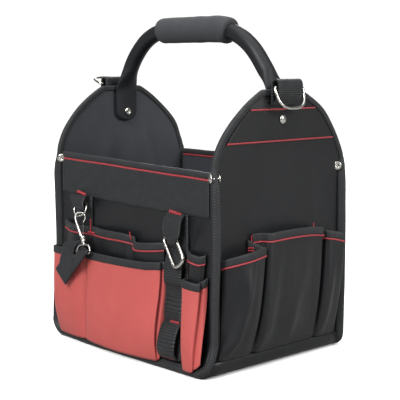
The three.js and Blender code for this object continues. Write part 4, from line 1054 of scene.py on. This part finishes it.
handle_line = []
end_steps = [0, 0.8, 2, 3, 4, 5.5, 7, 9, 12] + [14 + 2.5 * k for k in range(22)]
middle_steps = [70 + (handle_long - 140) * k / 110 for k in range(111)]
for d in end_steps + middle_steps + [handle_long - e for e in reversed(end_steps)]:
    at, out = handle_at(d, 1.5)
    wide, thick = flattened(min(d, handle_long - d))
    handle_line.append((at, Vector((0, 1, 0)), out, wide, thick))
# Satin black powder coat on steel, near black with soft grey highlights.
powder_coat = coated("satin_black_powder_coat", "#151618", "#1e1f22")
show("handle_steel", barred(handle_line, around=32, square=1.0), powder_coat,
     ["handle_tube"], body="handle")

# Grip: a sleeve of charcoal closed-cell foam pushed on to the middle of the tube. Its ends are cut square
# and have crept to a soft edge, and it is slightly uneven where hands have pressed it.
GRIP, GRIP_LONG, GRIP_SHIFT = 15.2, 116.0, 2.0
# Rows: share of the grip's length, radius.
GRIP_ENDS = ((0.0, TUBE + 0.4), (0.002, GRIP - 2.6), (0.006, GRIP - 1.6), (0.014, GRIP - 0.8),
             (0.028, GRIP - 0.25))


def foamed(name, colour, lit):
    """Closed-cell foam: dead matt, with a skin of fine pits and a few pressed marks."""
    material, shader, spot = begun(name)
    cells = add_node(material, "ShaderNodeTexVoronoi", {
        "Vector": spot.outputs["Object"], "Scale": 1 / (1.1 * MM)})
    press = add_node(material, "ShaderNodeTexNoise", {
        "Vector": spot.outputs["Object"], "Scale": 1 / (18 * MM), "Detail": 5.0})
    tint = add_node(material, "ShaderNodeMix", {
        0: press.outputs["Fac"], 6: linear(colour), 7: linear(lit)}, data_type="RGBA")
    pits = add_node(material, "ShaderNodeBump", {
        "Height": cells.outputs["Distance"], "Strength": 0.5, "Distance": 0.25 * MM})
    marks = add_node(material, "ShaderNodeBump", {
        "Height": press.outputs["Fac"], "Strength": 0.4, "Distance": 0.8 * MM,
        "Normal": pits.outputs["Normal"]})
    feed(material, shader, {
        "Base Color": tint.outputs[2], "Normal": marks.outputs["Normal"], "Roughness": 0.9,
        "Sheen Weight": 0.05})
    return material


grip_line = []
for share, radius in (list(GRIP_ENDS) + [(0.045 + 0.91 * k / 46, GRIP) for k in range(47)]
                      + [(1 - share, radius) for share, radius in reversed(GRIP_ENDS)]):
    at, out = handle_at((handle_long - GRIP_LONG) / 2 - GRIP_SHIFT + share * GRIP_LONG, 2.5)
    worked = noise.noise((at.x / 14, 3.0, 5.0)) * 0.35 if 0.03 < share < 0.97 else 0.0
    grip_line.append((at, Vector((0, 1, 0)), out, radius + worked, radius + worked))
# Charcoal nitrile foam: a dark warm grey that scatters light evenly.
foam = foamed("charcoal_nitrile_foam", "#25262a", "#313235")
grip = show("handle_foam", barred(grip_line, around=40, square=1.0), foam, ["handle_grip"],
            body="handle")

# Handle rivets: as the corner rivets, longer. The dome is outside the gable patch, and the rolled ring is
# inside, on the tongue.
RIVET_OUTSIDE, RIVET_INSIDE = END_FACE + 1.8, TONGUE_X - 2.3
for name, side in ENDS:
    middle = side * (RIVET_OUTSIDE + RIVET_INSIDE) / 2
    show(f"handle_rivet_shown_{name}", rivet((middle, 0, PIVOT), (side, 0, 0), RIVET_OUTSIDE - RIVET_INSIDE),
         nickel, [f"handle_rivet_{name}"])

# D-rings and their loops: a wide webbing loop is sewn to the top of each gable, and a D of thick plated
# wire hangs in it for a shoulder strap. The right one hangs, and the left one stands out.
LOOP_WIDE = 38.0
LOOP_BACK = END_X + 3.85
# Rows: how far out from its back, height.
LOOP = ((0, 285), (0, 296), (0, 307), (1.4, 310.6), (4.8, 312.4), (8.4, 310.8), (10, 306.5), (10, 300),
        (7.2, 292), (2.6, 285.5))
D_OUT, D_AT = LOOP_BACK + 6.8, 304.5
D_WIRE, D_HALF, D_DROP = 1.7, 21.9, 24.0
for name, side, swing, aside in (("left", -1, 108.0, -6.0), ("right", 1, 20.0, 0.0)):
    spots = [Vector((out, 0, z)) for out, z in LOOP]

    def loop_place(u, v):
        at = spline(spots, v)
        return (side * (LOOP_BACK + at.x), aside + (u - 0.5) * LOOP_WIDE, at.z)

    length = measured(spots)[-1]
    loop = show(f"d_ring_webbing_{name}", laid(12, 70, loop_place, (LOOP_WIDE, length)), webbing,
                [f"d_ring_loop_{name}"], thick=WEBBING)
    lean = math.radians(swing)

    def ring_place(u, v):
        return Vector((side * (D_OUT + v * math.sin(lean)), aside + u, D_AT - v * math.cos(lean)))

    show(f"d_ring_wire_{name}", strung([bent(ring_place, (
        (D_HALF, 0, 3.5), (D_HALF, D_DROP, 19), (-D_HALF, D_DROP, 19), (-D_HALF, 0, 3.5)), closed=True)],
        D_WIRE, closed=True, sides=6), nickel, [f"d_ring_{name}"], body=f"d_ring_{name}")

# Studio: a white floor that runs on into a white background, broad soft light from above with gentler
# lights on its sides, and the camera where the photograph was taken from. Floor and background are white to
# the camera and dimmer in the light that they give, so that they don't wash out the black cloth.
paper, paper_shader, paper_spot = begun("white_paper_floor")
paper_grain = add_node(paper, "ShaderNodeTexNoise", {
    "Vector": paper_spot.outputs["Object"], "Scale": 3.0, "Detail": 3.0})
paper_tint = add_node(paper, "ShaderNodeMix", {
    0: paper_grain.outputs["Fac"], 6: linear("#fbfbfa"), 7: linear("#fefefd")}, data_type="RGBA")
paper_seen = add_node(paper, "ShaderNodeLightPath")
paper_bounce = add_node(paper, "ShaderNodeMix", {
    0: paper_seen.outputs["Is Camera Ray"], 6: linear("#9a9a99"), 7: paper_tint.outputs[2]}, data_type="RGBA")
feed(paper, paper_shader, {"Base Color": paper_bounce.outputs[2], "Roughness": 0.9})
ground = bmesh.new()
bmesh.ops.create_grid(ground, x_segments=1, y_segments=1, size=30.0)
floor_mesh = bpy.data.meshes.new("floor")
ground.to_mesh(floor_mesh)
ground.free()
floor_mesh.materials.append(paper)
floor = bpy.data.objects.new("floor", floor_mesh)
bpy.context.collection.objects.link(floor)

sky = bpy.data.worlds.new("studio")
sky.use_nodes = True
sky_seen = add_node(sky, "ShaderNodeLightPath")
sky_power = add_node(sky, "ShaderNodeMapRange", {
    "Value": sky_seen.outputs["Is Camera Ray"], "To Min": 0.26, "To Max": 1.1})
feed(sky, sky.node_tree.nodes["Background"], {
    "Color": linear("#ffffff"), "Strength": sky_power.outputs[0]})
bpy.context.scene.world = sky
# A lamp's size is in metres, and the sun's is the angle that it fills.
for name, kind, at, aim, size, power in (
        ("overhead", "SUN", (0.2, -0.25, 2.0), (0, 0, 0), math.radians(70), 2.7),
        ("key", "AREA", (0.4, -2.0, 1.45), (0, -0.05, 0.15), 1.0, 70.0),
        ("side", "AREA", (2.1, 0.5, 1.1), (0.1, 0, 0.15), 0.9, 42.0),
        ("behind", "AREA", (-1.7, 1.5, 1.2), (0, 0, 0.15), 1.2, 26.0)):
    light = bpy.data.lights.new(name, kind)
    light.energy = power
    if kind == "SUN":
        light.angle = size
    else:
        light.size = size
    lamp = bpy.data.objects.new(name, light)
    lamp.location = at
    lamp.rotation_euler = (Vector(aim) - Vector(at)).to_track_quat("-Z", "Y").to_euler()
    bpy.context.collection.objects.link(lamp)

camera = bpy.data.objects.new("camera", bpy.data.cameras.new("camera"))
camera.data.lens = 95.05
camera.data.sensor_width = 36.0
camera.location = (0.9107, -0.8491, 0.3291)
camera.rotation_euler = (math.radians(90 - 7.35), 0, math.radians(46.8))
bpy.context.collection.objects.link(camera)
bpy.context.scene.camera = camera
bpy.context.scene.view_settings.view_transform = "Standard"
